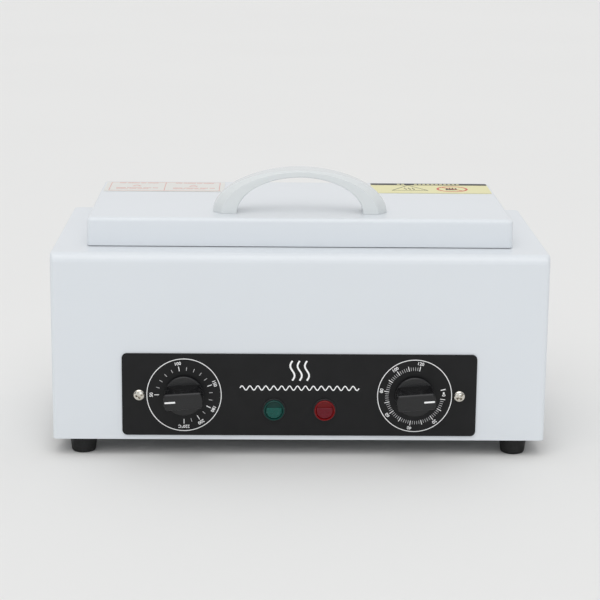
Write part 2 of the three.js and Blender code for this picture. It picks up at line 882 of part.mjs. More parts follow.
// A knuckle along X with its bore.
function knuckle(from, to) {
  return rod(knuckleRadius, from, to, ROUND)
    .rotate([0, 90, 0])
    .translate([0, pinY, pinZ]);
}

function knuckleBoreSolid(radius) {
  return rod(radius, -leafWidth, leafWidth, ROUND)
    .rotate([0, 90, 0])
    .translate([0, pinY, pinZ]);
}

// The leaf on the cabinet's rear wall carries the two outer knuckles.
function cabinetLeaf() {
  const top = pinZ - knuckleRadius;
  const half = leafWidth / 2;
  let leaf = block([-half, rearFace, top - leafHeight], [half, rearFace + leafThickness, top]);
  const inner = centreKnuckle / 2 + knuckleGap;
  for (const ends of [[-half, -inner], [inner, half]]) {
    leaf = leaf.add(block([ends[0], rearFace, top - 0.5], [ends[1], pinY, top + leafThickness]));
    leaf = leaf.add(knuckle(...ends));
  }
  return leaf.subtract(knuckleBoreSolid(hingePinRadius + 0.05));
}

// The leaf on the lid's rear wall carries the middle knuckle.
function lidLeaf() {
  const under = pinZ + knuckleRadius - leafThickness;
  const half = leafWidth / 2;
  const inner = centreKnuckle / 2;
  let leaf = block([-half, lidRear, under], [half, lidRear + leafThickness, under + lidLeafHeight]);
  leaf = leaf.add(block([-inner, lidRear, under], [inner, pinY, under + leafThickness]));
  leaf = leaf.add(knuckle(-inner, inner));
  return leaf.subtract(knuckleBoreSolid(knuckleBore));
}

// The pin has a flat head at its +X end.
function hingePin() {
  const end = leafWidth / 2 + fitGap;
  const pin = turned([
    [0, -end],
    [hingePinRadius, -end],
    [hingePinRadius, end],
    [hingePinRadius + pinHead, end],
    [hingePinRadius + pinHead, end + pinHeadThickness],
    [0, end + pinHeadThickness],
  ], ROUND);
  return pin.rotate([0, 90, 0]).translate([0, pinY, pinZ]);
}

// ---- Lid ----

// Its skirt hangs a little below the inner panel, so the seam over the deck is narrow.
function lidShell() {
  const bottom = lidBottom - lidSkirt;
  let lid = foldedBlock(lidWidth, lidLength, bottom, lidTop, cornerBend, lidBend, lidBend);
  lid = lid.subtract(foldedBlock(
    lidWidth - 2 * lidSheet, lidLength - 2 * lidSheet, bottom - 1, lidTop - lidSheet,
    cornerBend - lidSheet, lidBend - lidSheet, lidBend - lidSheet));
  lid = lid.translate([0, lidMiddle, 0]);
  for (const [, side] of sides) {
    const hole = screwHole(lidTop - lidBend, lidTop + 1);
    lid = lid.subtract(hole.translate([side * handleScrewSpacing / 2, handleY, 0]));
  }
  return lid;
}

// The inner panel closes the lid's underside; its pan drops into the chamber's mouth.
function lidInnerPanel() {
  const width = lidWidth - 2 * lidSheet - 2 * fitGap;
  const length = lidLength - 2 * lidSheet - 2 * fitGap;
  const top = lidBottom + innerSheet;
  let panel = plate(width, length, cornerBend - lidSheet, lidBottom, top);
  panel = panel.add(plate(plugWidth, plugLength, chamberCorner, deckTop - plugDrop, top));
  panel = panel.subtract(plate(
    plugWidth - 2 * innerSheet, plugLength - 2 * innerSheet, chamberCorner - innerSheet,
    deckTop - plugDrop + innerSheet, lidTop));
  return panel.translate([0, lidMiddle, 0]);
}

function lidInsulation() {
  const margin = 2 * (lidSheet + padClearance);
  const bottom = lidBottom + innerSheet + fitGap;
  const top = lidTop - lidSheet - panHeadHeight - screwHeadroom;
  return plate(lidWidth - margin, lidLength - margin, cornerBend, bottom, top, 0, lidMiddle);
}

function lidGasket() {
  const inner = gasketInset;
  const outer = gasketInset + gasketWidth;
  const bottom = deckTop + fitGap;
  let ring = plate(
    chamberWidth + 2 * outer, chamberLength + 2 * outer, chamberCorner + outer, bottom, lidBottom);
  ring = ring.subtract(plate(
    chamberWidth + 2 * inner, chamberLength + 2 * inner, chamberCorner + inner, deckTop, lidTop));
  return ring.translate([0, chamberMiddle, 0]);
}

// A half ellipse standing on the lid, from the right foot over to the left foot.
function archPoints(span, rise, steps) {
  return Array.from({ length: steps + 1 }, (_, i) => {
    const angle = (i / steps) * Math.PI;
    return new THREE.Vector2(span / 2 * Math.cos(angle), rise * Math.sin(angle));
  });
}

function handle() {
  const outer = archPoints(handleSpan - 2 * handleBevel, handleRise - handleBevel, 24);
  const inner = archPoints(handleInnerSpan + 2 * handleBevel, handleInnerRise + handleBevel, 20).reverse();
  const bow = new THREE.Shape([...outer, ...inner]);
  const bevels = {
    depth: handleDepth - 2 * handleBevel,
    bevelThickness: handleBevel,
    bevelSize: handleBevel,
    bevelSegments: 1,
  };
  const above = block([-handleSpan, -handleDepth, 0], [handleSpan, handleDepth, handleRise]);
  let body = solid(new THREE.ExtrudeGeometry(bow, bevels))
    .translate([0, 0, handleBevel - handleDepth / 2])
    .rotate([90, 0, 0])
    .intersect(above);
  for (const [, side] of sides) {
    const hole = screwHole(-1, handleBoreDepth);
    body = body.subtract(hole.translate([side * handleScrewSpacing / 2, 0, 0]));
  }
  return body.translate([0, handleY, lidTop]);
}

// The handle's screw rises from inside the lid; its head bears on the underside of the lid's top.
function handleScrew() {
  return panScrew(panHeadRadius, panHeadHeight, screwRadius, handleBoreDepth + lidSheet - 1)
    .rotate([180, 0, 0])
    .translate([0, handleY, lidTop - lidSheet]);
}

function lidLabel([width, length], side) {
  const x = side * (lidWidth / 2 - labelSideInset - width / 2);
  const y = lidRear - labelRearInset - length / 2;
  return plate(width, length, labelCorner, lidTop, lidTop + labelThickness, x, y);
}

// ---- Tray ----

function instrumentTray() {
  const rimWidth = chamberWidth - 2 * trayClearance;
  const rimLength = chamberLength - 2 * trayClearance;
  const width = rimWidth - 2 * trayRim;
  const length = rimLength - 2 * trayRim;
  let tray = plate(width, length, trayCorner, chamberFloor, trayTop);
  tray = tray.add(plate(rimWidth, rimLength, trayCorner + trayRim, trayTop - trayWall, trayTop));
  tray = tray.subtract(plate(
    width - 2 * trayWall, length - 2 * trayWall, trayCorner - trayWall, chamberFloor + trayWall, deckTop));
  const columns = Math.floor((width - 2 * trayHolePitch) / trayHolePitch) + 1;
  const rows = Math.floor((length - trayHolePitch) / trayHolePitch) + 1;
  for (let column = 0; column < columns; column += 1) {
    for (let row = 0; row < rows; row += 1) {
      const x = (column - (columns - 1) / 2) * trayHolePitch;
      const y = (row - (rows - 1) / 2) * trayHolePitch;
      const hole = rod(trayHoleRadius, chamberFloor - 1, chamberFloor + 2 * trayWall, 6);
      tray = tray.subtract(hole.translate([x, y, 0]));
    }
  }
  for (const [, side] of sides) {
    tray = tray.add(trayGrip().translate([side * (width / 2 - trayWall / 2), 0, trayTop]));
  }
  return tray.translate([0, chamberMiddle, 0]);
}

// An upright lifting tab with round upper corners, its foot buried in the rim.
function trayGrip() {
  const shape = roundedOutline(trayGripWidth, 2 * trayGripHeight, trayGripCorner);
  const grip = prism(shape, -trayGripThickness / 2, trayGripThickness / 2).rotate([90, 0, 90]);
  const above = block(
    [-trayGripThickness, -trayGripWidth, -trayWall], [trayGripThickness, trayGripWidth, trayGripHeight]);
  return grip.intersect(above);
}

// ---- Assembly ----

add('outer_shell', outerShell(), whiteSteel);
add('base_plate', basePlate(), zincSteel);
for (const place of footPlaces) {
  add(`foot_${place.name}`, foot(), blackRubber).position.set(place.x, place.y, 0);
  add(`foot_screw_${place.name}`, footScrew(), zincSteel).position.set(place.x, place.y, 0);
}
for (const [name, side] of sides) {
  const screw = panScrew(baseScrewHead, lowHeadHeight, screwRadius, baseScrewLength);
  add(`base_screw_${name}`, facingRear(screw, side * baseScrewX, rearFace, baseScrewZ), zincSteel);
}

add('control_panel', controlPanel(), blackPlate);
for (const [name, side] of sides) {
  const screw = panScrew(panHeadRadius, panHeadHeight, screwRadius, panelScrewLength);
  add(`panel_screw_${name}`, facingFront(screw, side * panelScrewOffset, panelFace, dialZ), nickel);
}
addDial('thermostat', -dialOffset, thermostatPointer);
addDial('timer', dialOffset, timerPointer);
const thermostatBody = dialMechanism(thermostatSize, thermostatDepth);
add('thermostat_body', facingFront(thermostatBody, -dialOffset, frontInside, dialZ), zincSteel);
const timerBody = dialMechanism(timerSize, timerDepth);
add('timer_body', facingFront(timerBody, dialOffset, frontInside, dialZ), zincSteel);
for (const [name, side, lens] of [['green', -1, greenLens], ['red', 1, redLens]]) {
  add(`${name}_lamp_body`, facingFront(lampBody(), side * lampOffset, panelFace, lampZ), blackPlastic);
  add(`${name}_lamp_lens`, facingFront(lampLens(), side * lampOffset, panelFace, lampZ), lens);
}

add('chamber_liner', chamberLiner(), stainless);
add('heater_plate', studdedPlate(heaterWidth, heaterLength, heaterUnder, linerUnder), mica);
add('heater_clamp', studdedPlate(clampWidth, clampLength, clampUnder, heaterUnder), zincSteel);
for (const [name, side] of sides) {
  add(`heater_nut_${name}`, heaterNut(), zincSteel).position.set(side * studSpacing / 2, chamberMiddle, 0);
}
add('insulation_jacket', insulationJacket(), glassWool);
add('thermostat_capillary', capillary(), copper);
add('thermal_cutout', thermalCutout(), porcelain);
add('instrument_tray', instrumentTray(), stainless);

add('terminal_block', terminalBlock(), porcelain);
add('earth_screw', earthScrew(), brass);
for (const [name, material, points] of wires()) {
  add(name, tube(points, wireRadius, 20, 6), material);
}
add('power_inlet', inletBody(), blackPlastic);
for (const [name, x, y] of inletPins) {
  add(name, inletPin(x, y), nickel);
}
for (const [name, side] of sides) {
  const screw = panScrew(inletScrewHead, lowHeadHeight, screwRadius, inletScrewLength);
  const x = inletOffset + side * inletScrewPitch / 2;
  add(`inlet_screw_${name}`, facingRear(screw, x, rearFace + inletFlangeThickness, inletZ), nickel);
}

add('lid_shell', lidShell(), whiteSteel);
add('lid_inner_panel', lidInnerPanel(), stainless);
add('lid_insulation', lidInsulation(), glassWool);
add('lid_gasket', lidGasket(), gasketSilicone);
add('lid_handle', handle(), whitePlastic);
add('program_label', lidLabel(programLabelSize, -1), creamLabel);
add('warning_label', lidLabel(warningLabelSize, 1), yellowLabel);
for (const [name, side] of sides) {
  add(`handle_screw_${name}`, handleScrew(), zincSteel).position.x = side * handleScrewSpacing / 2;
  const x = side * hingeSpacing / 2;
  add(`cabinet_hinge_leaf_${name}`, cabinetLeaf(), zincSteel).position.x = x;
  add(`lid_hinge_leaf_${name}`, lidLeaf(), zincSteel).position.x = x;
  add(`hinge_pin_${name}`, hingePin(), zincSteel).position.x = x;
}

export default steriliser;
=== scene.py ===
"""Looks of a desktop dry-heat steriliser cabinet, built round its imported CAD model."""

import math

import bmesh
import bpy
from mathutils import Matrix, Vector


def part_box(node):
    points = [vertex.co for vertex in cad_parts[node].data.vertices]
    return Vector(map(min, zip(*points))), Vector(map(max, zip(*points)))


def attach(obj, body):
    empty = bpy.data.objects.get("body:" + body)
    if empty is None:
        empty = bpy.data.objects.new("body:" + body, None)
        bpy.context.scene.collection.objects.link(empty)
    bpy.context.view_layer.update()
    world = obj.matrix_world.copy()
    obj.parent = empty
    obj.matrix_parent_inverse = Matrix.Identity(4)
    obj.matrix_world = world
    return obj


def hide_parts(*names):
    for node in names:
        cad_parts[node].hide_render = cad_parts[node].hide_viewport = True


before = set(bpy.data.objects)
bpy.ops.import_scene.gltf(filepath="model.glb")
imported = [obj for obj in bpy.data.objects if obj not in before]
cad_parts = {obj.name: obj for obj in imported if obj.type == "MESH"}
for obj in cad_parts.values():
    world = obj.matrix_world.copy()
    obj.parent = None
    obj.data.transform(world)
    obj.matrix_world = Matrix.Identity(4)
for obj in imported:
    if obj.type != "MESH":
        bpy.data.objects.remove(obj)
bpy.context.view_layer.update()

MM = 0.001
TAU = 2 * math.pi
FRONT = Matrix.Rotation(math.pi / 2, 4, "X")
REAR = Matrix.Rotation(-math.pi / 2, 4, "X")
DOWN = Matrix.Rotation(math.pi, 4, "X")
ALONG_X = Matrix.Rotation(math.pi / 2, 4, "Y")

# ---- Sizes, in millimetres ----

SHEET = 1.0
FRONT_TOP_BEND = 6.0
SIDE_TOP_BEND = 1.6
CORNER_BEND = 3.0
LID_BEND = 2.8
LINER_WALL = 0.8
LINER_FLANGE = 8.0
CHAMBER_CORNER = 10.0
FIT_GAP = 0.3
SCREW_RADIUS = 1.6
SCREW_HOLE = 1.9
SHAFT_RADIUS = 3.0
PRINT = 0.05
HANDLE_INNER_HALF = 44.0
HANDLE_INNER_RISE = 25.7


# ---- Camera: place in metres, turn as yaw, pitch down and roll in degrees, lens in millimetres ----

CAMERA_PLACE = (-0.02435, -1.3444, 0.4039)
CAMERA_TURN = (-1.0956, 13.0646, 0.5718)
CAMERA_LENS = 113.786


def make_camera():
    yaw, pitch, roll = (math.radians(a) for a in CAMERA_TURN)
    forward = Vector((-math.sin(yaw) * math.cos(pitch), math.cos(yaw) * math.cos(pitch), -math.sin(pitch)))
    right = Vector((math.cos(yaw), math.sin(yaw), 0))
    up = right.cross(forward)
    right_rolled = math.cos(roll) * right + math.sin(roll) * up
    up_rolled = math.cos(roll) * up - math.sin(roll) * right
    camera = bpy.data.objects.new("camera", bpy.data.cameras.new("camera"))
    bpy.context.scene.collection.objects.link(camera)
    camera.data.lens = CAMERA_LENS
    camera.data.sensor_width = 36
    camera.data.clip_start = 0.05
    camera.data.clip_end = 200
    camera.matrix_world = Matrix.Translation(CAMERA_PLACE) @ Matrix(
        (right_rolled, up_rolled, -forward)).transposed().to_4x4()
    bpy.context.scene.camera = camera


make_camera()


# ---- Mesh helpers: loose meshes in millimetres ----

def box(node):
    low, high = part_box(node)
    return low / MM, high / MM


def new_mesh(bm):
    bmesh.ops.remove_doubles(bm, verts=bm.verts, dist=1e-4)
    bmesh.ops.dissolve_degenerate(bm, edges=bm.edges, dist=1e-5)
    bmesh.ops.recalc_face_normals(bm, faces=bm.faces)
    mesh = bpy.data.meshes.new("shape")
    bm.to_mesh(mesh)
    bm.free()
    return mesh


def outline(half_x, half_y, radius, centre=(0, 0), steps=6):
    """A rounded rectangle, anticlockwise."""
    radius = min(radius, half_x - 1e-3, half_y - 1e-3)
    points = []
    for corner, (sx, sy) in enumerate(((1, 1), (-1, 1), (-1, -1), (1, -1))):
        for i in range(steps + 1):
            a = (corner + i / steps) * math.pi / 2
            points.append((centre[0] + sx * (half_x - radius) + radius * math.cos(a),
                           centre[1] + sy * (half_y - radius) + radius * math.sin(a)))
    return points


def loft(rings, closed=False):
    """A skin over rings of 3D points; the ends are capped unless the rings close on themselves."""
    bm = bmesh.new()
    rows = [[bm.verts.new(p) for p in ring] for ring in rings]
    pairs = list(zip(rows, rows[1:]))
    if closed:
        pairs.append((rows[-1], rows[0]))
    for a, b in pairs:
        for i in range(len(a)):
            j = (i + 1) % len(a)
            bm.faces.new((a[i], a[j], b[j], b[i]))
    if not closed:
        bm.faces.new(list(reversed(rows[0])))
        bm.faces.new(rows[-1])
    return new_mesh(bm)


def at_height(points, z):
    return [(x, y, z) for x, y in points]


def lathe(profile, segments=64, closed=False):
    """A turned shape about Z from (radius, height) points."""
    rings = []
    for radius, z in profile:
        radius = max(radius, 2e-5)
        rings.append([(radius * math.cos(i * TAU / segments), radius * math.sin(i * TAU / segments), z)
                      for i in range(segments)])
    return loft(rings, closed)


def arc(cx, cz, radius, start, end, steps=5):
    """Points of a profile's arc, angles in degrees."""
    angles = [math.radians(start + (end - start) * i / steps) for i in range(steps + 1)]
    return [(cx + radius * math.cos(a), cz + radius * math.sin(a)) for a in angles]


def slab(half_x, half_y, corner, bottom, top, edge=0.3, centre=(0, 0), steps=8, under=None):
    """A round-cornered plate with eased edges."""
    under = edge if under is None else under
    rings = []
    for ease, z, way in ((under, bottom, 1), (edge, top, -1)):
        levels = [math.radians(90 * i / 3) for i in range(4)] if ease > 0 else [math.pi / 2]
        if way < 0:
            levels = list(reversed(levels))
        for t in levels:
            inset = ease * (1 - math.sin(t))
            rise = ease * (1 - math.cos(t))
            rings.append(at_height(
                outline(half_x - inset, half_y - inset, max(corner - inset, 0.05), centre, steps),
                z + way * rise))
    return loft(rings)


def rod(radius, bottom, top, segments=32, edge=0.0):
    profile = [(0, bottom), (radius - edge, bottom)]
    if edge:
        profile += [(radius, bottom + edge), (radius, top - edge)]
    profile += [(radius - edge, top), (0, top)] if edge else [(radius, bottom), (radius, top), (0, top)]
    return lathe(profile, segments)


def block(low, high):
    return slab((high[0] - low[0]) / 2, (high[1] - low[1]) / 2, 0.05, low[2], high[2], 0,
                ((high[0] + low[0]) / 2, (high[1] + low[1]) / 2), 1)


def moved(mesh, *matrices):
    for matrix in reversed(matrices):
        mesh.transform(matrix)
    return mesh


def shift(x, y, z):
    return Matrix.Translation((x, y, z))


def turn(degrees, axis="Z"):
    return Matrix.Rotation(math.radians(degrees), 4, axis)


def joined(meshes):
    bm = bmesh.new()
    for mesh in meshes:
        bm.from_mesh(mesh)
        bpy.data.meshes.remove(mesh)
    mesh = bpy.data.meshes.new("shape")
    bm.to_mesh(mesh)
    bm.free()
    return mesh


def holder(mesh):
    thing = bpy.data.objects.new("holder", mesh)
    bpy.context.scene.collection.objects.link(thing)
    return thing


def modified(mesh, kind, **settings):
    """The mesh with one modifier applied."""
    thing = holder(mesh)
    modifier = thing.modifiers.new(kind, kind)
    for key, value in settings.items():
        setattr(modifier, key, value)
    bpy.context.view_layer.update()
    depsgraph = bpy.context.evaluated_depsgraph_get()
    result = bpy.data.meshes.new_from_object(thing.evaluated_get(depsgraph), depsgraph=depsgraph)
    bpy.data.objects.remove(thing)
    return result


def combined(mesh, other, operation):
    tool = holder(other)
    result = modified(mesh, "BOOLEAN", operation=operation, solver="EXACT", object=tool)
    bpy.data.objects.remove(tool)
    return result


def cut(mesh, *cutters):
    return combined(mesh, joined(cutters) if len(cutters) > 1 else cutters[0], "DIFFERENCE")


def united(mesh, *others):
    for other in others:
        mesh = combined(mesh, other, "UNION")
    return mesh


def piece(name, mesh, look, body, replaces=(), slot=None, sharp=32, weighted=True):
    """Turns a loose mesh into a finished piece that rides on a body."""
    mesh.transform(Matrix.Scale(MM, 4))
    mesh.name = name
    mesh.polygons.foreach_set("use_smooth", [True] * len(mesh.polygons))
    mesh.set_sharp_from_angle(angle=math.radians(sharp))
    if weighted:
        mesh = modified(mesh, "WEIGHTED_NORMAL", keep_sharp=True, weight=80)
    mesh.materials.clear()
    mesh.materials.append(look)
    thing = bpy.data.objects.new(name, mesh)
    bpy.context.scene.collection.objects.link(thing)
    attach(thing, body)
    if replaces:
        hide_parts(*([replaces] if isinstance(replaces, str) else replaces))
    return thing


def fine(node, mesh, body, slot, **settings):
    """A finished piece that replaces a CAD node, in its slot's own finish."""
    return piece(node + "_fine", mesh, L[slot], body, node, slot, **settings)


def refined(node, body, slot, edge=0.25, angle=36):
    """A finer copy of a CAD node: flat faces made whole and hard edges eased."""
    bm = bmesh.new()
    bm.from_mesh(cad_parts[node].data)
    bmesh.ops.scale(bm, vec=(1 / MM,) * 3, verts=bm.verts)
    bmesh.ops.remove_doubles(bm, verts=bm.verts, dist=1e-3)
    bmesh.ops.dissolve_limit(bm, angle_limit=math.radians(0.5), verts=bm.verts, edges=bm.edges)
    mesh = bpy.data.meshes.new("shape")
    bm.to_mesh(mesh)
    bm.free()
    mesh = modified(mesh, "BEVEL", width=edge, segments=2, limit_method="ANGLE",
                    angle_limit=math.radians(angle), use_clamp_overlap=True)
    return fine(node, mesh, body, slot)


# ---- Materials ----

L = {}


def look(name, color, rough, metal=0.0, specular=0.5, coat=0.0, coat_rough=0.1, tone=(40, 0.04),
         rough_grain=(60, 0.05), bump=(400, 0.05, 0.05), stretch=(1, 1, 1), cells=0, ribs=None, second=None):
    """A procedural finish, kept in L: tone, roughness and relief from noise in the piece's own space.
    tone is (scale per metre, share), bump is (scale per metre, strength, height in mm)."""
    material = bpy.data.materials.new(name)
    material.use_nodes = True
    nodes, links = material.node_tree.nodes, material.node_tree.links
    shader = nodes["Principled BSDF"]
    shader.inputs["Metallic"].default_value = metal
    shader.inputs["Specular IOR Level"].default_value = specular
    shader.inputs["IOR"].default_value = 1.5
    shader.inputs["Coat Weight"].default_value = coat
    shader.inputs["Coat Roughness"].default_value = coat_rough
    place = nodes.new("ShaderNodeTexCoord")
    mapping = nodes.new("ShaderNodeMapping")
    mapping.inputs["Scale"].default_value = stretch
    links.new(place.outputs["Object"], mapping.inputs["Vector"])

    def noise(scale, detail=3.0, rough_detail=0.55):
        node = nodes.new("ShaderNodeTexNoise")
        node.inputs["Scale"].default_value = scale
        node.inputs["Detail"].default_value = detail
        node.inputs["Roughness"].default_value = rough_detail
        links.new(mapping.outputs["Vector"], node.inputs["Vector"])
        return node.outputs["Fac"]

    def ranged(value, low, high, source=(0.3, 0.7)):
        node = nodes.new("ShaderNodeMapRange")
        node.inputs["From Min"].default_value = source[0]
        node.inputs["From Max"].default_value = source[1]
        node.inputs["To Min"].default_value = low
        node.inputs["To Max"].default_value = high
        links.new(value, node.inputs["Value"])
        return node.outputs["Result"]

    def mixed(factor, a, b):
        node = nodes.new("ShaderNodeMix")
        node.data_type = "RGBA"
        node.inputs["A"].default_value = (*a, 1)
        node.inputs["B"].default_value = (*b, 1)
        links.new(factor, node.inputs["Factor"])
        return node.outputs["Result"]

    dark = [c * (1 - tone[1]) for c in color]
    light = [min(1.0, c * (1 + tone[1])) for c in (second or color)]
    if cells:
        cell = nodes.new("ShaderNodeTexVoronoi")
        cell.inputs["Scale"].default_value = cells
        links.new(mapping.outputs["Vector"], cell.inputs["Vector"])
        split = nodes.new("ShaderNodeSeparateColor")
        links.new(cell.outputs["Color"], split.inputs["Color"])
        factor = ranged(split.outputs["Red"], 0, 1, (0, 1))
    else:
        factor = ranged(noise(tone[0]), 0, 1)
    links.new(mixed(factor, dark, light), shader.inputs["Base Color"])
    links.new(ranged(noise(rough_grain[0]), max(0.02, rough - rough_grain[1]), rough + rough_grain[1]),
              shader.inputs["Roughness"])
    relief = nodes.new("ShaderNodeBump")
    relief.inputs["Strength"].default_value = bump[1]
    relief.inputs["Distance"].default_value = bump[2] * MM
    height = noise(bump[0], 2.0)
    if ribs:
        wave = nodes.new("ShaderNodeTexWave")
        wave.bands_direction = ribs[0]
        wave.inputs["Scale"].default_value = ribs[1]
        links.new(place.outputs["Object"], wave.inputs["Vector"])
        height = wave.outputs["Fac"]
    links.new(height, relief.inputs["Height"])
    links.new(relief.outputs["Normal"], shader.inputs["Normal"])
    L[name] = material
    return material


look("shell_enamel", (0.75, 0.785, 0.82), 0.30, coat=0.25, coat_rough=0.16, tone=(7, 0.006),
     rough_grain=(45, 0.012), bump=(190, 0.006, 0.05))
look("lid_enamel", (0.75, 0.785, 0.82), 0.30, coat=0.25, coat_rough=0.16, tone=(8, 0.006),
     rough_grain=(45, 0.012), bump=(190, 0.006, 0.05))
look("handle_plastic", (0.72, 0.75, 0.755), 0.24, coat=0.2, tone=(25, 0.008), rough_grain=(120, 0.03),
     bump=(900, 0.02, 0.04))
look("panel_black", (0.0085, 0.0085, 0.009), 0.38, specular=0.22, tone=(60, 0.15), rough_grain=(300, 0.06),
     bump=(2600, 0.08, 0.03))
look("panel_white", (0.95, 0.95, 0.95), 0.5, tone=(500, 0.03), bump=(2500, 0.1, 0.02))
look("panel_grey", (0.55, 0.55, 0.555), 0.5, tone=(500, 0.04), bump=(2500, 0.1, 0.02))
look("knob_black", (0.006, 0.006, 0.0068), 0.22, tone=(70, 0.10), rough_grain=(240, 0.03),
     bump=(1100, 0.015, 0.02))
look("black_plastic", (0.012, 0.012, 0.013), 0.45, tone=(90, 0.15), rough_grain=(300, 0.08),
     bump=(1800, 0.25, 0.05))
look("foot_rubber", (0.011, 0.011, 0.011), 0.66, specular=0.35, tone=(150, 0.2), rough_grain=(400, 0.1),
     bump=(1200, 0.3, 0.08))
look("tank_steel", (0.34, 0.315, 0.275), 0.34, metal=1, tone=(30, 0.08), rough_grain=(180, 0.09),
     bump=(700, 0.05, 0.02))
look("stainless", (0.60, 0.595, 0.575), 0.27, metal=1, tone=(30, 0.05), rough_grain=(180, 0.09),
     bump=(700, 0.10, 0.02), stretch=(0.04, 1, 1))
look("nickel", (0.70, 0.67, 0.61), 0.14, metal=1, tone=(200, 0.05), rough_grain=(500, 0.05),
     bump=(1500, 0.06, 0.02))
look("zinc_steel", (0.44, 0.45, 0.46), 0.38, metal=1, tone=(40, 0.10), rough_grain=(150, 0.08),
     bump=(500, 0.08, 0.03), cells=160)
look("brass", (0.56, 0.39, 0.13), 0.28, metal=1, tone=(200, 0.08), bump=(1500, 0.08, 0.02))
look("copper", (0.52, 0.21, 0.10), 0.30, metal=1, tone=(150, 0.12), bump=(1200, 0.08, 0.02))
look("mica", (0.25, 0.19, 0.11), 0.5, tone=(90, 0.3), second=(0.33, 0.27, 0.17), bump=(300, 0.4, 0.1),
     cells=120)
look("glass_wool", (0.60, 0.56, 0.44), 0.95, specular=0.2, tone=(350, 0.18), bump=(600, 0.9, 0.6),
     stretch=(1, 0.25, 1))
look("gasket", (0.055, 0.05, 0.047), 0.55, tone=(120, 0.15), bump=(900, 0.2, 0.05))
look("label_cream", (0.76, 0.755, 0.72), 0.42, tone=(60, 0.01), bump=(700, 0.03, 0.03))
look("label_yellow", (0.80, 0.76, 0.42), 0.42, tone=(60, 0.01), bump=(700, 0.03, 0.03))
look("label_rose", (0.70, 0.27, 0.235), 0.5, tone=(600, 0.06), bump=(1500, 0.08, 0.02))
look("label_red", (0.62, 0.10, 0.08), 0.5, tone=(600, 0.06), bump=(1500, 0.08, 0.02))
look("label_black", (0.020, 0.020, 0.020), 0.5, tone=(600, 0.1), bump=(1500, 0.08, 0.02))
look("porcelain", (0.72, 0.68, 0.60), 0.25, coat=0.6, tone=(90, 0.04), second=(0.74, 0.71, 0.64),
     bump=(500, 0.1, 0.05))
look("wire_brown", (0.13, 0.045, 0.018), 0.5, tone=(200, 0.1), bump=(900, 0.12, 0.05))
look("wire_blue", (0.03, 0.11, 0.32), 0.5, tone=(200, 0.1), bump=(900, 0.12, 0.05))
look("wire_green", (0.10, 0.26, 0.04), 0.5, tone=(30, 0.1), second=(0.55, 0.45, 0.03),
     bump=(900, 0.12, 0.05), cells=70)
# Lamp colours paint light and shade: each lens's own colour is darkened to paint the shaded upper crescent,
# and the lighter facet tone paints the lower part of the lens lit by reflected floor light; the facets are of
# the lens's own plastic.
for lamp_color, clear, painted_lit_facet_tone in (("green", (0.001, 0.042, 0.034), (0.006, 0.125, 0.10)),
                                   ("red", (0.17, 0.0005, 0.002), (0.20, 0.006, 0.018))):
    look("lens_" + lamp_color, clear, 0.08, specular=0.3, tone=(80, 0.06),
         rough_grain=(300, 0.03), ribs=("Z", 420), bump=(300, 0.12, 0.05))
    look("painted_lit_facets_" + lamp_color, painted_lit_facet_tone, 0.22, tone=(900, 0.12),
         rough_grain=(900, 0.05), bump=(900, 0.2, 0.05))


# ---- Sheet-steel shells ----

def bent(half_x, half_y, top, side_bend, front_bend, corner, steps=7):
    """Rings that follow the bends from the walls up to the deck: height and half sizes."""
    levels = {round(top - front_bend - 0.5, 4), round(top, 6)}
    for bend in (front_bend, side_bend):
        for i in range(steps + 1):
            levels.add(round(top - bend + bend * math.sin(i / steps * math.pi / 2), 4))
    rings = []
    for z in sorted(levels):
        if z > top:
            continue
        insets = []
        for bend in (side_bend, front_bend):
            over = min(bend, max(0.0, z - (top - bend)))
            insets.append(bend - math.sqrt(max(0.0, bend * bend - over * over)))
        rings.append((z, half_x - insets[0], half_y - insets[1], corner))
    return rings


def sheet_box(low, high, side_bend, front_bend, corner, sheet, mouth=None, steps=6):
    """An open-bottomed box of folded sheet, closed on top or with a mouth: (x, y, half_x, half_y, corner)."""
    centre = ((low[0] + high[0]) / 2, (low[1] + high[1]) / 2)
    half_x, half_y = (high[0] - low[0]) / 2, (high[1] - low[1]) / 2

    def ring(z, hx, hy, c):
        return at_height(outline(hx, hy, c, centre, steps), z)

    outer = [(low[2], half_x, half_y, corner)] + bent(
        half_x, half_y, high[2], side_bend, front_bend, corner)
    inner = [(low[2], half_x - sheet, half_y - sheet, corner - sheet)] + bent(
        half_x - sheet, half_y - sheet, high[2] - sheet, max(0.2, side_bend - sheet), front_bend - sheet,
        corner - sheet)
    for rings in (outer, inner):
        z, hx, hy, c = rings[-1]
        rings.append((z, hx - 0.5, hy - 0.5, c))
    if mouth is None:
        rings = [ring(*r) for r in reversed(inner)] + [ring(*r) for r in outer]
        return loft(rings)
    x, y, mx, my, mc = mouth
    edge = 0.3
    around = [(mx + edge + 0.5, high[2]), (mx + edge, high[2]), (mx + edge * 0.3, high[2] - edge * 0.3),
              (mx, high[2] - edge), (mx, high[2] - sheet)]
    lip = [at_height(outline(w, my + w - mx, mc + w - mx, (x, y), steps), z) for w, z in around]
    return loft([ring(*r) for r in outer] + lip + [ring(*r) for r in reversed(inner)], closed=True)


shell_low, shell_high = box("outer_shell")
liner_low, liner_high = box("chamber_liner")
tray_low, tray_high = box("instrument_tray")
panel_low, panel_high = box("control_panel")
mouth_x = (liner_high[0] - liner_low[0]) / 2 - LINER_FLANGE - LINER_WALL
mouth_y = (liner_high[1] - liner_low[1]) / 2 - LINER_FLANGE - LINER_WALL
chamber_y = (liner_high[1] + liner_low[1]) / 2
panel_face = panel_low[1]
DIALS = [("thermostat", 184.0), ("timer", 4.5)]
SIDES = [("left", -1), ("right", 1)]


def centre_of(node):
    low, high = box(node)
    return (low + high) / 2


def through_front(radius, node, y=None, depth=6):
    c = centre_of(node)
    start = shell_low[1] + depth if y is None else y
    return moved(rod(radius, 0, 2 * depth), shift(c[0], start, c[2]), FRONT)


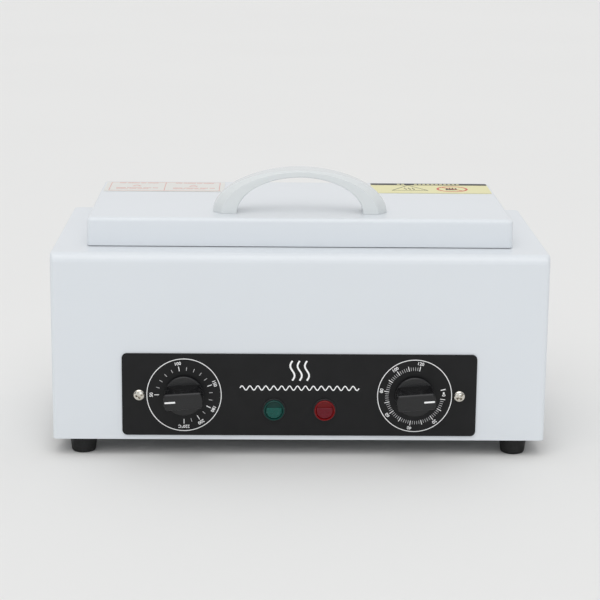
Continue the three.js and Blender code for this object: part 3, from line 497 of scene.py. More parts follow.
front_bores = [(SHAFT_RADIUS + 1.5, n + "_knob") for n, _ in DIALS]
front_bores += [(6.3, "green_lamp_body"), (6.3, "red_lamp_body")]
front_bores += [(SCREW_HOLE, "panel_screw_" + s) for s, _ in SIDES]


def make_shell():
    mesh = sheet_box(shell_low, shell_high, SIDE_TOP_BEND, FRONT_TOP_BEND, CORNER_BEND, SHEET,
                     (0, chamber_y, mouth_x, mouth_y, CHAMBER_CORNER), 8)
    cutters = [through_front(r, n) for r, n in front_bores]
    rear = shell_high[1]
    for node in ("base_screw_left", "base_screw_right", "inlet_screw_left", "inlet_screw_right"):
        c = centre_of(node)
        cutters.append(moved(rod(SCREW_HOLE, -5, 5), shift(c[0], rear, c[2]), REAR))
    low, high = box("power_inlet")
    cx, cz = (low[0] + high[0]) / 2, (low[2] + high[2]) / 2
    cutters.append(moved(slab(13.8, 10, 1, -5, 5, 0), shift(cx, rear, cz), REAR))
    mesh = cut(mesh, *cutters)
    piece("cabinet_shell", mesh, L["shell_enamel"], "cabinet", "outer_shell", "shell_enamel")


def make_lid():
    low, high = box("lid_shell")
    mesh = sheet_box(low, high, LID_BEND, LID_BEND, CORNER_BEND, SHEET, None, 8)
    cutters = []
    for side, _ in SIDES:
        c = centre_of("handle_screw_" + side)
        cutters.append(moved(rod(SCREW_HOLE, high[2] - 3, high[2] + 3), shift(c[0], c[1], 0)))
    piece("lid_cover", cut(mesh, *cutters), L["lid_enamel"], "lid", "lid_shell", "lid_enamel")


make_shell()
make_lid()


# ---- Handle ----

def softened(corners, steps=4):
    """A closed outline through (x, y, radius) corners with each corner rounded; all corners are convex."""
    points = []
    for i, (x, y, radius) in enumerate(corners):
        here = Vector((x, y))
        before = (Vector(corners[i - 1][:2]) - here).normalized()
        after = (Vector(corners[(i + 1) % len(corners)][:2]) - here).normalized()
        half = before.angle(after) / 2
        back = radius / math.tan(half)
        centre = here + (before + after).normalized() * radius / math.sin(half)
        start, end = here + before * back - centre, here + after * back - centre
        for k in range(steps + 1):
            arm = start.lerp(end, k / steps).normalized() * radius
            points.append(tuple(centre + arm))
    return points


def make_handle():
    low, high = box("lid_handle")
    cx, cy = (low[0] + high[0]) / 2, (low[1] + high[1]) / 2
    half, rise, depth = (high[0] - low[0]) / 2, high[2] - low[2], (high[1] - low[1]) / 2
    rings = []
    steps = 72
    for i in range(steps + 1):
        a = math.pi * i / steps
        outer = Vector((half * math.cos(a), rise * math.sin(a)))
        inner = Vector((HANDLE_INNER_HALF * math.cos(a), HANDLE_INNER_RISE * math.sin(a)))
        across = outer - inner
        thick = across.length / 2
        across.normalize()
        middle = (outer + inner) / 2
        shoulder, flank = 0.9 * thick - 1.4, 1.1 * thick - 1.2
        section = softened([
            (-thick, -depth, 0.9), (thick - shoulder, -depth, 0.9), (thick, flank - depth, 1.6),
            (thick, depth - flank, 1.6), (thick - shoulder, depth, 0.9), (-thick, depth, 0.9)])
        ring = []
        for u, v in section:
            point = middle + across * u
            ring.append((cx + point.x, cy + v, max(0.0, point.y) + low[2]))
        rings.append(ring)
    mesh = loft(rings)
    bores = []
    for side, _ in SIDES:
        c = centre_of("handle_screw_" + side)
        bores.append(moved(rod(SCREW_HOLE, -2, 10), shift(c[0], c[1], low[2])))
    piece("lid_handle_bow", cut(mesh, *bores), L["handle_plastic"], "lid", "lid_handle", "handle_plastic")


make_handle()


# ---- Screws ----

def cross_recess(size, depth):
    def wing(angle):
        rings = [at_height(outline(size * 0.5, size * 0.15, 0.05, steps=1), 0.4),
                 at_height(outline(size * 0.5, size * 0.15, 0.05, steps=1), 0),
                 at_height(outline(size * 0.3, size * 0.1, 0.05, steps=1), -depth)]
        return moved(loft(rings), turn(angle))
    return wing(0), wing(90)


def screw_mesh(head, height, shank, length, angle=20):
    """A pan-head screw along +Z with a cross recess and a threaded-looking shank; its seat is at zero."""
    profile = [(0, -length), (shank * 0.55, -length), (shank, -length + shank * 0.8)]
    z, pitch = -length + shank * 0.8, 0.8
    while z + pitch < -0.9:
        profile += [(shank * 0.86, z + pitch * 0.5), (shank, z + pitch)]
        z += pitch
    profile += [(shank, 0), (head - 0.15, 0), (head, 0.15), (head, height * 0.42)]
    profile += [(head * math.cos(t), height * 0.42 + height * 0.58 * math.sin(t))
                for t in (math.radians(15 * k) for k in range(1, 6))]
    profile += [(0, height)]
    mesh = lathe(profile, 40)
    for wing in cross_recess(head * 1.35, height * 1.1):
        mesh = cut(mesh, moved(wing, turn(angle), shift(0, 0, height)))
    return mesh


def screw(node, rotation, axis, way, head_height, slot, body, angle=20):
    """A fine screw in a CAD screw's place, with its head at the low (way -1) or high (way 1) end."""
    low, high = box(node)
    centre = (low + high) / 2
    end = high[axis] if way > 0 else low[axis]
    seat = end - way * head_height
    spread = max(high[i] - low[i] for i in range(3) if i != axis) / 2
    length = abs(seat - (low[axis] if way > 0 else high[axis]))
    place = centre.copy()
    place[axis] = seat
    mesh = moved(screw_mesh(spread, head_height, SCREW_RADIUS, length, angle), Matrix.Translation(place),
                 rotation)
    fine(node, mesh, body, slot)


screw("panel_screw_left", FRONT, 1, -1, 2.2, "nickel", "cabinet", 12)
screw("panel_screw_right", FRONT, 1, -1, 2.2, "nickel", "cabinet", 38)
for index, (side, _) in enumerate(SIDES):
    screw("base_screw_" + side, REAR, 1, 1, 1.8, "zinc_steel", "cabinet", 15 + 40 * index)
    screw("inlet_screw_" + side, REAR, 1, 1, 1.8, "nickel", "cabinet", 60 - 35 * index)
    screw("handle_screw_" + side, DOWN, 2, -1, 2.2, "zinc_steel", "lid", 5 + 25 * index)
    for end in ("front", "rear"):
        screw(f"foot_screw_{end}_{side}", DOWN, 2, -1, 2.2, "zinc_steel", "cabinet", 30 + 20 * index)
screw("earth_screw", Matrix.Identity(4), 2, 1, 2.2, "brass", "cabinet", 20)


# ---- Feet ----

FOOT_BOTTOM_RADIUS = 8.4
FOOT_ROUND = 1.6


def make_foot(node):
    low, high = box(node)
    centre = (low + high) / 2
    height = high[2] - low[2]
    top_r = (high[0] - low[0]) / 2
    profile = [(SCREW_HOLE, height), (SCREW_HOLE, 5), (4.4, 5), (4.6, 4.8), (4.6, 0.3), (4.9, 0)]
    profile += arc(FOOT_BOTTOM_RADIUS - FOOT_ROUND, FOOT_ROUND, FOOT_ROUND, -90, -6, 6)
    profile += [(top_r, height - FOOT_ROUND), (top_r, height - 0.3), (top_r - 0.3, height)]
    mesh = moved(lathe(profile, 64, True), shift(centre[0], centre[1], low[2]))
    fine(node, mesh, "cabinet", "foot_rubber")


for end in ("front", "rear"):
    for side, _ in SIDES:
        make_foot(f"foot_{end}_{side}")


# ---- Control panel and its print ----

def make_panel():
    c = (panel_low + panel_high) / 2
    half_x, half_z = (panel_high[0] - panel_low[0]) / 2, (panel_high[2] - panel_low[2]) / 2
    thickness = panel_high[1] - panel_low[1]
    mesh = moved(slab(half_x, half_z, 3.5, 0, thickness, 0.25, steps=10, under=0),
                 shift(c[0], panel_high[1], c[2]), FRONT)
    mesh = cut(mesh, *[through_front(r, n) for r, n in front_bores])
    fine("control_panel", mesh, "cabinet", "panel_black")


make_panel()


def on_panel(x, z):
    return shift(x, panel_face, z) @ FRONT


def ribbon(points, width, bottom=-0.02, top=PRINT, closed=False):
    """A flat printed line of even width along plane points."""
    count = len(points)
    rings = []
    for i, point in enumerate(points):
        before = Vector(points[i - 1] if (i or closed) else points[0])
        after = Vector(points[(i + 1) % count] if (i < count - 1 or closed) else points[-1])
        along = (after - before).normalized()
        side = Vector((-along.y, along.x)) * width / 2
        a, b = Vector(point) + side, Vector(point) - side
        rings.append([(a.x, a.y, bottom), (b.x, b.y, bottom), (b.x, b.y, top), (a.x, a.y, top)])
    return loft(rings, closed)


def circle(radius, count=128, centre=(0, 0)):
    return [(centre[0] + radius * math.cos(i * TAU / count), centre[1] + radius * math.sin(i * TAU / count))
            for i in range(count)]


def tick(angle, inner, outer, width):
    a = math.radians(angle)
    return ribbon([(inner * math.cos(a), inner * math.sin(a)), (outer * math.cos(a), outer * math.sin(a))],
                  width)


def numeral(text, height, weight=0.018):
    """Printed figures, centred on the origin."""
    curve = bpy.data.curves.new("figures", "FONT")
    curve.body = text
    curve.resolution_u = 3
    curve.extrude = 0.035
    curve.offset = weight
    thing = bpy.data.objects.new("figures", curve)
    bpy.context.scene.collection.objects.link(thing)
    bpy.context.view_layer.update()
    depsgraph = bpy.context.evaluated_depsgraph_get()
    mesh = bpy.data.meshes.new_from_object(thing.evaluated_get(depsgraph), depsgraph=depsgraph)
    bpy.data.objects.remove(thing)
    bm = bmesh.new()
    bm.from_mesh(mesh)
    bmesh.ops.remove_doubles(bm, verts=bm.verts, dist=1e-5)
    bm.to_mesh(mesh)
    bm.free()
    low = [min(v.co[i] for v in mesh.vertices) for i in range(2)]
    high = [max(v.co[i] for v in mesh.vertices) for i in range(2)]
    scale = height / (high[1] - low[1])
    return moved(mesh, shift(0, 0, 0.015), Matrix.Diagonal((scale, scale, 1, 1)),
                 shift(-(low[0] + high[0]) / 2, -(low[1] + high[1]) / 2, 0))


def around(mesh, radius, angle):
    a = math.radians(angle)
    return moved(mesh, shift(radius * math.cos(a), radius * math.sin(a), 0), turn(angle - 90))


# Dial print: radii, line widths and angles anticlockwise from the right
DIAL_RING = 25.6
DIAL_LINE = 0.52
NUMERAL_HEIGHT = 2.35
COLDEST, HOTTEST, COLDEST_ANGLE, DEGREE_STEP = 50, 220, 180, 1.59
THERMOSTAT_NUMERALS = 22.6
LONGEST, ZERO_ANGLE, MINUTE_STEP = 120, -7.0, 2.275
TIMER_NUMERALS = 23.2
ZERO_RADIUS, ZERO_DOT_ANGLE, HOLD_ANGLE = 20.2, 6.1, 12.8
PICTOGRAM_LIFT = 17.4
RULE_LIFT = 5.0


def thermostat_scale():
    strong, faint = [ribbon(circle(DIAL_RING), DIAL_LINE, closed=True)], []
    for value in range(COLDEST, HOTTEST + 1, 10):
        angle = COLDEST_ANGLE - (value - COLDEST) * DEGREE_STEP
        if value in (COLDEST, 100, 150, 180, 200, HOTTEST):
            strong.append(tick(angle, 17.2, 20.5, 0.55))
            text = f"{value}°C" if value == HOTTEST else str(value)
            strong.append(around(numeral(text, NUMERAL_HEIGHT), THERMOSTAT_NUMERALS, angle))
        else:
            faint.append(tick(angle, 17.4, 19.8, 0.4))
    return strong, faint


def timer_scale():
    strong, faint = [ribbon(circle(DIAL_RING), DIAL_LINE, closed=True)], []
    for minute in range(0, LONGEST + 1, 2):
        angle = ZERO_ANGLE - minute * MINUTE_STEP
        if minute % 10 == 0:
            strong.append(tick(angle, 17.9, 21.3, 0.5))
        else:
            faint.append(tick(angle, 18.0, 20.4, 0.35))
        if minute and minute % 20 == 0:
            strong.append(around(numeral(str(minute), NUMERAL_HEIGHT), TIMER_NUMERALS, angle))
    strong.append(around(numeral("0", NUMERAL_HEIGHT), ZERO_RADIUS, 1.5))
    dot_angle = math.radians(ZERO_DOT_ANGLE)
    dot = (ZERO_RADIUS * math.cos(dot_angle), ZERO_RADIUS * math.sin(dot_angle))
    strong.append(ribbon(circle(0.35, 16, dot), 0.7, closed=True))
    strong.append(tick(HOLD_ANGLE, 18.4, 21.8, 0.7))
    return strong, faint


def print_piece(name, shapes, look_name, x, z, slot="panel_black"):
    mesh = moved(joined(shapes), on_panel(x, z))
    piece(name, mesh, L[look_name], "cabinet", slot=slot, weighted=False)


def make_panel_print():
    for (name, _), scale in zip(DIALS, (thermostat_scale, timer_scale)):
        c = centre_of(name + "_knob")
        strong, faint = scale()
        print_piece(name + "_scale", strong, "panel_white", c[0], c[2])
        print_piece(name + "_minor_ticks", faint, "panel_grey", c[0], c[2])
    middle = (panel_low[2] + panel_high[2]) / 2
    waves = []
    for x in (-5, 0, 5):
        points = [(x + 1.5 * math.sin(t / 24 * TAU), -7 + 14 * t / 24) for t in range(25)]
        waves.append(ribbon(points, 1.2))
    print_piece("heat_pictogram", waves, "panel_white", 0, middle + PICTOGRAM_LIFT)
    length, swell, waves_across, points_along = 82, 1.5, 15, 240
    band = [(length * (t / points_along - 0.5), swell * math.sin(t / points_along * TAU * waves_across))
            for t in range(points_along + 1)]
    print_piece("wave_rule", [ribbon(band, 0.75)], "panel_white", 0, middle + RULE_LIFT)


make_panel_print()


# ---- Knobs ----

GRIP_HALF_WIDTH = 8.0
GRIP_NARROWING = 2.35
GRIP_REACH = 13.55
GRIP_POWER = 26


def knob_mesh(height, disc_radius):
    """A disc with a raised grip bar that narrows upwards; a high power gives the bar crisp corners."""
    disc_top, gap = 4.0, 0.5
    disc = lathe([(0, gap), (disc_radius - 0.3, gap), (disc_radius, gap + 0.3),
                  (disc_radius, disc_top - 0.9)]
                 + arc(disc_radius - 0.9, disc_top - 0.9, 0.9, 0, 90, 5)[1:] + [(0, disc_top)], 96)
    rings = []
    levels = [(disc_top - 0.6, 0.0), (disc_top - 0.2, 0.0)]
    levels += [(disc_top + (height - 1.0 - disc_top) * i / 6, 0.0) for i in range(1, 7)]
    levels += [(height - 1.0 + math.sin(math.radians(a)), 1.0 * (1 - math.cos(math.radians(a))))
               for a in (18, 36, 54, 72, 90)]
    for z, inset in levels:
        share = (z - disc_top) / (height - disc_top)
        half_width = GRIP_HALF_WIDTH - GRIP_NARROWING * share - inset
        reach = GRIP_REACH - 0.1 * share - inset
        ring = []
        corner = math.asin(min(0.99, half_width / reach))
        angles = []
        for quarter in range(4):
            base = quarter * math.pi / 2
            spans = [(0, corner - 0.1, 5), (corner - 0.1, corner + 0.1, 6), (corner + 0.1, math.pi / 2, 5)]
            local = [a + (b - a) * k / n for a, b, n in spans for k in range(n)]
            angles += [base + t for t in local] if quarter % 2 == 0 else [
                base + math.pi / 2 - t for t in reversed(local + [math.pi / 2]) if t > 0]
        for a in sorted(set(round(t, 6) for t in angles)):
            flat = half_width / max(abs(math.sin(a)), 1e-6)
            radius = (reach ** -GRIP_POWER + flat ** -GRIP_POWER) ** (-1 / GRIP_POWER)
            ring.append((radius * math.cos(a), radius * math.sin(a), z))
        rings.append(ring)
    mesh = united(disc, loft(rings))
    return cut(mesh, rod(SHAFT_RADIUS + FIT_GAP, -1, 12))


def make_knob(name, pointer):
    node = name + "_knob"
    low, high = box(node)
    c = (low + high) / 2
    height = panel_face - low[1]
    place = (on_panel(c[0], c[2]), turn(pointer))
    fine(node, moved(knob_mesh(height, (high[0] - low[0]) / 2), *place), name + "_dial", "knob_black",
         sharp=40)
    line = slab(3.65, 0.6, 0.35, height - 0.05, height + 0.06, 0.05, (8.9, 0), 4)
    piece(name + "_pointer", moved(line, *place), L["panel_white"], name + "_dial", slot="knob_black")
    refined(name + "_shaft", name + "_dial", "zinc_steel")


for dial_name, pointer_angle in DIALS:
    make_knob(dial_name, pointer_angle)


# ---- Pilot lamps ----

LAMP_COLLAR = 0.8
LAMP_DEPTH = 27
LENS_RADIUS = 7.2
RIM_ROUND = 0.6
FACET_REACH = 5.6
FACET_TOP = 1.7
FACET_PITCH = 0.8


def facet_plate():
    """Fine square facets over the lower two thirds of the lens's recess."""
    facets = []
    half = FACET_PITCH * 0.42
    for column in range(-7, 8):
        for row in range(-7, 8):
            x, y = column * FACET_PITCH, row * FACET_PITCH
            if math.hypot(x, y) < FACET_REACH - FACET_PITCH / 2 and y < FACET_TOP:
                corners = [(-1, -1), (1, -1), (1, 1), (-1, 1)]
                facets.append(loft([[(x + k * sx, y + k * sy, z) for sx, sy in corners]
                                    for k, z in ((half, 1.3), (half, 2.9), (half * 0.4, 3.1))]))
    return joined(facets)


def make_lamp(color):
    node = color + "_lamp_body"
    low, high = box(node)
    c = (low + high) / 2
    place = on_panel(c[0], c[2])
    seat = LAMP_COLLAR
    back = seat - LAMP_DEPTH
    body = lathe([(0, back), (5.7, back), (6, back + 0.3), (6, 0), (7.6, 0), (7.9, 0.2), (7.9, 0.6),
                  (7.7, seat), (4.9, seat), (4.9, back + 6), (0, back + 6)], 64)
    for side in (-1, 1):
        body = united(body, block((side * 3 - 0.4, -1.4, back - 7), (side * 3 + 0.4, 1.4, back + 1)))
    fine(node, moved(body, place), "cabinet", "black_plastic")
    profile = [(0, seat - 6), (4.6, seat - 6), (4.6, seat), (LENS_RADIUS - 0.2, seat),
               (LENS_RADIUS, seat + 0.2), (LENS_RADIUS, 2.5)]
    profile += arc(LENS_RADIUS - RIM_ROUND, 2.5, RIM_ROUND, 0, 90, 5)[1:]
    profile += [(6.25, 3.1), (6.1, 2.85), (5.95, 2.62), (5.9, 2.0), (5.6, 1.75), (0, 1.6)]
    lens = moved(lathe(profile, 96), place)
    fine(color + "_lamp_lens", lens, "cabinet", "lens_" + color, sharp=50)
    # The facet plate wears the lighter lens tone: painted light on the lower part of the lens.
    piece(color + "_lamp_facets", moved(facet_plate(), place), L["painted_lit_facets_" + color], "cabinet",
          slot="lens_" + color, weighted=False)


for lamp_color in ("green", "red"):
    make_lamp(lamp_color)


# ---- Chamber ----

tray_floor = tray_low[2]
grip_height = 17.0
rim_top = tray_high[2] - grip_height


def pressed_tank(centre, half_x, half_y, corner, floor, wall, flange, flange_z, floor_round):
    """A deep-drawn open tank: inside half sizes, rounded at the floor, with a flange round its mouth."""
    def ring(grow, z):
        return at_height(outline(half_x + grow, half_y + grow, corner + grow, centre, 10), z)
    inside = [ring(-floor_round * (1 - math.sin(t)), floor + floor_round * (1 - math.cos(t)))
              for t in (math.pi / 2 * k / 6 for k in range(7))]
    outside = [ring(wall - (floor_round + wall) * (1 - math.sin(t)),
                    floor - wall + (floor_round + wall) * (1 - math.cos(t)))
               for t in (math.pi / 2 * k / 6 for k in range(7))]
    rings = list(outside)
    rings.append(ring(wall, flange_z - wall - 0.6))
    rings += [ring(wall + 0.2, flange_z - wall - 0.1), ring(wall + 0.6, flange_z - wall)]
    rings += [ring(wall + flange - 0.1, flange_z - wall), ring(wall + flange, flange_z - wall + 0.1)]
    rings += [ring(wall + flange, flange_z - 0.1), ring(wall + flange - 0.1, flange_z)]
    rings += [ring(0.8, flange_z), ring(0.3, flange_z - 0.25), ring(0, flange_z - 0.8)]
    rings += list(reversed(inside))
    return loft(rings)


def make_liner():
    mesh = pressed_tank((0, chamber_y), mouth_x, mouth_y, CHAMBER_CORNER, tray_floor, LINER_WALL,
                        LINER_FLANGE, liner_high[2], floor_round=5.0)
    for side, _ in SIDES:
        c = centre_of("heater_nut_" + side)
        stud = lathe([(0, liner_low[2]), (1.7, liner_low[2]), (2, liner_low[2] + 0.3),
                      (2, tray_floor - 0.4), (0, tray_floor - 0.4)], 24)
        mesh = united(mesh, moved(stud, shift(c[0], c[1], 0)))
    piece("chamber_tank", mesh, L["tank_steel"], "cabinet", "chamber_liner", "stainless", sharp=40)


def make_tray():
    half_x, half_y = (tray_high[0] - tray_low[0]) / 2, (tray_high[1] - tray_low[1]) / 2
    wall, rim = 0.8, 4.0
    mesh = pressed_tank((0, chamber_y), half_x - rim - wall, half_y - rim - wall, 6.2, tray_floor + wall,
                        wall, rim, rim_top, floor_round=2.5)
    holes = []
    hole_radius = 2.1
    columns, rows, pitch = 22, 10, 10.0
    for row in range(rows):
        for column in range(columns):
            x = (column - (columns - 1) / 2 + (0.25 if row % 2 else -0.25)) * pitch
            y = (row - (rows - 1) / 2) * pitch * 0.92
            holes.append(moved(rod(hole_radius, tray_floor - 1, tray_floor + 2, 14),
                               shift(x, chamber_y + y, 0)))
    mesh = cut(mesh, *holes)
    for _, side in SIDES:
        tab = slab(30, grip_height, 6, -0.6, 0.6, 0.3, steps=8)
        tab = moved(tab, shift(side * (half_x - rim - wall / 2), chamber_y, rim_top), turn(90),
                    turn(90, "X"))
        keep = block((-half_x - 5, -200, rim_top - 0.6), (half_x + 5, 200, tray_high[2] + 5))
        tab = combined(tab, keep, "INTERSECT")
        mesh = united(mesh, tab)
    piece("tray_perforated", mesh, L["stainless"], "cabinet", "instrument_tray", "stainless", sharp=40)


def make_lid_lining():
    low, high = box("lid_inner_panel")
    half_x, half_y = (high[0] - low[0]) / 2, (high[1] - low[1]) / 2
    cy, wall = (low[1] + high[1]) / 2, 0.8
    pan_x, pan_y, corner, curve = mouth_x - 4, mouth_y - 4, 10.0, 2.2

    def ring(hx, hy, c, z):
        return at_height(outline(hx, hy, c, (0, cy), 10), z)

    def pan(grow, floor, radius):
        return [ring(pan_x + grow - radius * (1 - math.sin(t)), pan_y + grow - radius * (1 - math.sin(t)),
                     corner + grow - radius * (1 - math.sin(t)), floor + radius * (1 - math.cos(t)))
                for t in (math.pi / 2 * k / 5 for k in range(6))]
    rings = pan(0, low[2], curve)
    rings += [ring(pan_x, pan_y, corner, high[2] - wall - 0.5),
              ring(pan_x + 0.5, pan_y + 0.5, corner + 0.5, high[2] - wall)]
    rings += [ring(half_x, half_y, 2, high[2] - wall), ring(half_x, half_y, 2, high[2])]
    rings += [ring(pan_x, pan_y, corner, high[2]),
              ring(pan_x - wall, pan_y - wall, corner - wall, high[2] - 0.5)]
    rings += list(reversed(pan(-wall, low[2] + wall, curve - wall)))
    piece("lid_lining", loft(rings), L["stainless"], "lid", "lid_inner_panel", "stainless", sharp=40)
    low, high = box("lid_gasket")
    half_x, half_y = (high[0] - low[0]) / 2, (high[1] - low[1]) / 2
    cy, width, corner = (low[1] + high[1]) / 2, 6.0, 19.0
    middle = (low[2] + high[2]) / 2
    rings = []
    for k in range(16):
        t = k * TAU / 16
        grow = -width / 2 + math.copysign(abs(math.cos(t)) ** 0.35, math.cos(t)) * width / 2
        z = middle + math.copysign(abs(math.sin(t)) ** 0.6, math.sin(t)) * (high[2] - low[2]) / 2
        rings.append(at_height(outline(half_x + grow, half_y + grow, corner + grow, (0, cy), 10), z))
    piece("lid_seal", loft(rings, True), L["gasket"], "lid", "lid_gasket", "gasket")


make_liner()
make_tray()
make_lid_lining()


# ---- Labels ----

def frame_line(half_x, half_y, corner, width, centre=(0, 0)):
    return ribbon(outline(half_x, half_y, corner, centre, 4), width, closed=True)


def bar(x0, x1, y, width):
    return ribbon([(x0, y), (x1, y)], width)


def words(x, y, height, lengths):
    """A printed line of blank words, from x on."""
    shapes = []
    for length in lengths:
        shapes.append(bar(x, x + length, y, height))
        x += length + 1.1
    return shapes


def make_labels():
    for node, name in (("program_label", "label_cream"), ("warning_label", "label_yellow")):
        low, high = box(node)
        c = (low + high) / 2
        mesh = slab((high[0] - low[0]) / 2, (high[1] - low[1]) / 2, 1.5, low[2], high[2], 0.08,
                    (c[0], c[1]), 6, 0)
        fine(node, mesh, "lid", name)
    low, high = box("program_label")
    c = (low + high) / 2
    half_x, half_y = (high[0] - low[0]) / 2, (high[1] - low[1]) / 2
    red = [frame_line(half_x - 3.7, half_y - 2.6, 0.8, 0.4),
           ribbon([(0, 2.6 - half_y), (0, half_y - 2.6)], 0.4)]
    for side in (-1, 1):
        x = side * half_x * 0.475
        red += words(x - 14, half_y - 5.2, 1.1, (5, 9, 4, 8))
        red.append(ribbon([(x - 3, 1.4), (x, 6.4), (x + 3, 1.4)], 1.0, closed=True))
        red += words(x - 15, -6.5, 1.3, (7, 11, 6, 4))
        red += words(x - 15, -10.2, 0.7, (9, 5, 8))
    mesh = moved(joined(red), shift(c[0], c[1], high[2]))
    piece("program_label_print", mesh, L["label_rose"], "lid", slot="label_cream", weighted=False)
    low, high = box("warning_label")
    c = (low + high) / 2
    half_x, half_y = (high[0] - low[0]) / 2, (high[1] - low[1]) / 2
    header, header_y = 3.7, half_y - 3.75
    black = [slab(half_x - 0.1, header, 1.4, -0.02, PRINT, 0, (0, header_y), 4)]
    black.append(ribbon([(-29.3, -10), (-16, 13), (-2.7, -10)], 1.3, closed=True))
    for x in (-19, -16, -13):
        black.append(ribbon([(x + 0.7 * math.sin(t / 8 * TAU), -6.5 + 8 * t / 8) for t in range(9)], 0.7))
    black.append(slab(4.6, 1.6, 1.5, -0.02, PRINT, 0, (15.4, -5.6), 3))
    for x, top in ((12.2, 1.6), (14.4, 2.6), (16.6, 2.2), (18.8, 0.8)):
        black.append(ribbon([(x, -5), (x + 0.3, top)], 1.3))
    mesh = moved(joined(black), shift(c[0], c[1], high[2]))
    piece("warning_label_print", mesh, L["label_black"], "lid", slot="label_yellow", weighted=False)
    yellow = words(-24.1, header_y, 3.2, (2.2, 2.2)) + words(-11, header_y, 3.2, (2.1,) * 11)
    yellow = moved(joined(yellow), shift(c[0], c[1], high[2] + 0.04))
    piece("warning_label_header", yellow, L["label_yellow"], "lid", slot="label_yellow", weighted=False)
    ring_x, ring_y, ring_radius, reach = 16.2, -3.2, 10.9, 8
    slash = [(ring_x - reach, ring_y + reach), (ring_x + reach, ring_y - reach)]
    red = [ribbon(circle(ring_radius, 72, (ring_x, ring_y)), 1.7, closed=True),
           ribbon(slash, 1.2, top=0.08)]
    mesh = moved(joined(red), shift(c[0], c[1], high[2]))
    piece("warning_label_ring", mesh, L["label_red"], "lid", slot="label_yellow", weighted=False)


make_labels()


# ---- Hinges ----

LEAF = 1.2
KNUCKLE = 3.2
KNUCKLE_HALF = 9.0
KNUCKLE_GAP = 0.4


def weld_dimples(mesh, points, matrix):
    dimples = [moved(lathe([(0, -0.25), (1.2, -0.2), (1.9, 0.05), (2.0, 0.6), (0, 0.6)], 20), matrix,
                     shift(x, y, 0))
               for x, y in points]
    return cut(mesh, *dimples)


def leaf_plate(half, height, x, wall, bottom):
    plate = slab(half, height / 2, 2.5, 0, LEAF, 0.25, steps=6, under=0)
    return moved(plate, shift(x, wall, bottom + height / 2), REAR)


def make_hinge(side):
    pin_low, pin_high = box("hinge_pin_" + side)
    x, y, z = (pin_low + pin_high) / 2
    low, high = box("cabinet_hinge_leaf_" + side)
    x = (low[0] + high[0]) / 2
    half = (high[0] - low[0]) / 2
    top = z - KNUCKLE
    axis = shift(x, y, z) @ ALONG_X

    def tube(a, b):
        return moved(rod(KNUCKLE, a, b, 56, 0.2), axis)

    rear = shell_high[1]
    height = top - low[2]
    leaf = leaf_plate(half, height, x, rear, low[2])
    gap = KNUCKLE_HALF + KNUCKLE_GAP
    for a, b in ((-half, -gap), (gap, half)):
        leaf = united(leaf, block((x + a, rear, top - 0.5), (x + b, y, top + LEAF)), tube(a, b))
    leaf = cut(leaf, moved(rod(1.55, -half - 2, half + 2, 40), axis))
    leaf = weld_dimples(leaf, [(-15, 2), (0, -3), (15, 2)],
                        shift(x, rear + LEAF, low[2] + height / 2) @ REAR)
    fine("cabinet_hinge_leaf_" + side, leaf, "cabinet", "zinc_steel")
    lid_leaf_top = box("lid_hinge_leaf_" + side)[1][2]
    lid_rear = box("lid_shell")[1][1]
    bottom = z + KNUCKLE - LEAF
    height = lid_leaf_top - bottom
    leaf = leaf_plate(half, height, x, lid_rear, bottom)
    leaf = united(leaf, block((x - KNUCKLE_HALF, lid_rear, bottom), (x + KNUCKLE_HALF, y, bottom + LEAF)),
                  tube(-KNUCKLE_HALF, KNUCKLE_HALF))
    leaf = cut(leaf, moved(rod(1.8, -12, 12, 40), axis))
    leaf = weld_dimples(leaf, [(-15, -2), (0, 3), (15, -2)],
                        shift(x, lid_rear + LEAF, bottom + height / 2) @ REAR)
    fine("lid_hinge_leaf_" + side, leaf, "lid", "zinc_steel")
    end = half + 0.3
    pin = lathe([(0, -end), (1.2, -end), (1.5, -end + 0.3), (1.5, end), (2.1, end), (2.3, end + 0.2),
                 (2.3, end + 0.6), (1.6, end + 1), (0, end + 1)], 40)
    fine("hinge_pin_" + side, moved(pin, axis), "cabinet", "zinc_steel")


for side, _ in SIDES:
    make_hinge(side)


# ---- Power inlet ----

def make_inlet():
    low, high = box("power_inlet")
    cx, cz = (low[0] + high[0]) / 2, (low[2] + high[2]) / 2
    place = shift(cx, shell_high[1], cz) @ REAR
    body = slab(25, 11.5, 4, 0, 2.6, 0.5, steps=10, under=0)
    body = united(body, slab(13.5, 9.7, 2, -22, 0.5, 0.3))
    body = cut(body, slab(12.2, 8.2, 3, -13.4, 4, 0, steps=10))
    bores = [moved(rod(SCREW_HOLE, -1, 4), shift(side * 20, 0, 0)) for _, side in SIDES]
    for x, y in ((-7, 2), (7, 2), (0, -2)):
        bores.append(block((x - 1.3, y - 2.3, -23), (x + 1.3, y + 2.3, 0)))
    body = cut(body, *bores)
    fine("power_inlet", moved(body, place), "cabinet", "black_plastic")
    for node in ("live_pin", "neutral_pin", "earth_pin"):
        refined(node, "cabinet", "nickel", 0.35)


make_inlet()

# ---- The pieces inside and underneath ----

for node, slot_name, edge in (
        ("base_plate", "zinc_steel", 0.2), ("thermostat_body", "zinc_steel", 0.6),
        ("timer_body", "zinc_steel", 0.6), ("heater_plate", "mica", 0.3), ("heater_clamp", "zinc_steel", 0.2),
        ("heater_nut_left", "zinc_steel", 0.3), ("heater_nut_right", "zinc_steel", 0.3),
        ("insulation_jacket", "glass_wool", 1.2), ("thermostat_capillary", "copper", 0.05),
        ("thermal_cutout", "porcelain", 0.4), ("terminal_block", "porcelain", 0.6),
        ("live_wire", "wire_brown", 0.05), ("neutral_wire", "wire_blue", 0.05),
        ("earth_wire", "wire_green", 0.05)):
    refined(node, "cabinet", slot_name, edge, 50 if slot_name == "copper" else 36)
refined("lid_insulation", "lid", "glass_wool", 1.2)


# ---- Floor and light ----

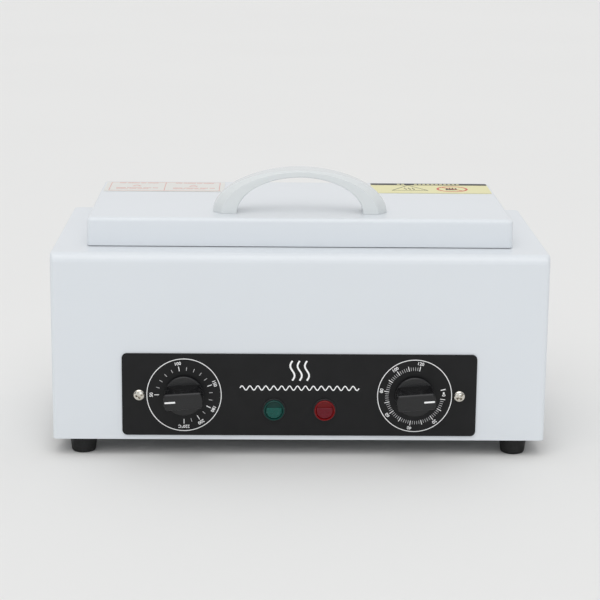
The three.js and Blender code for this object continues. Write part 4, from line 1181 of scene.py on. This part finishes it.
FLOOR_RADIUS = 40
SKY = (0.23, 0.86)  # strength at its darkest, low in front, and straight up
SKY_LEAN = 0.6  # how much brighter the sky is behind the cabinet
KEY = 1.05
KEY_FROM = (-0.12, -0.75, 1.0)
KEY_SPREAD = 60
FILL = 11
FILL_FROM = (0, -3.2, 0.45)


def make_stage():
    bpy.ops.mesh.primitive_circle_add(vertices=96, radius=FLOOR_RADIUS, fill_type="NGON")
    floor = bpy.context.object
    floor.name = "studio_floor"
    floor.data.materials.append(look("floor_paper", (0.815, 0.815, 0.806), 0.75, specular=0.25,
                                     tone=(1.5, 0.006), bump=(200, 0.03, 0.1)))
    world = bpy.data.worlds.new("studio")
    world.use_nodes = True
    nodes, links = world.node_tree.nodes, world.node_tree.links
    sky = nodes["Background"]
    sky.inputs["Color"].default_value = (0.985, 0.99, 1.0, 1)
    place = nodes.new("ShaderNodeTexCoord")
    toward = nodes.new("ShaderNodeVectorMath")
    toward.operation = "DOT_PRODUCT"
    toward.inputs[1].default_value = (0, SKY_LEAN, 1)
    links.new(place.outputs["Generated"], toward.inputs[0])
    rise = nodes.new("ShaderNodeMapRange")
    for key, value in (("From Min", -SKY_LEAN), ("From Max", 1.0), ("To Min", SKY[0]), ("To Max", SKY[1])):
        rise.inputs[key].default_value = value
    links.new(toward.outputs["Value"], rise.inputs["Value"])
    links.new(rise.outputs["Result"], sky.inputs["Strength"])
    bpy.context.scene.world = world

    def lamp(name, kind, place, target, energy, color, **settings):
        light = bpy.data.lights.new(name, kind)
        light.energy = energy
        light.color = color
        for key, value in settings.items():
            setattr(light, key, value)
        thing = bpy.data.objects.new(name, light)
        thing.location = place
        thing.rotation_euler = (Vector(target) - Vector(place)).to_track_quat("-Z", "Y").to_euler()
        bpy.context.scene.collection.objects.link(thing)

    lamp("key", "SUN", KEY_FROM, (0, 0, 0), KEY, (1, 0.99, 0.975), angle=math.radians(KEY_SPREAD))
    lamp("low_fill", "AREA", FILL_FROM, (0, 0, 0.03), FILL, (0.86, 0.93, 1), shape="RECTANGLE",
         size=3.2, size_y=0.7)


make_stage()
bpy.context.scene.view_settings.view_transform = "Standard"
bpy.context.scene.view_settings.look = "None"
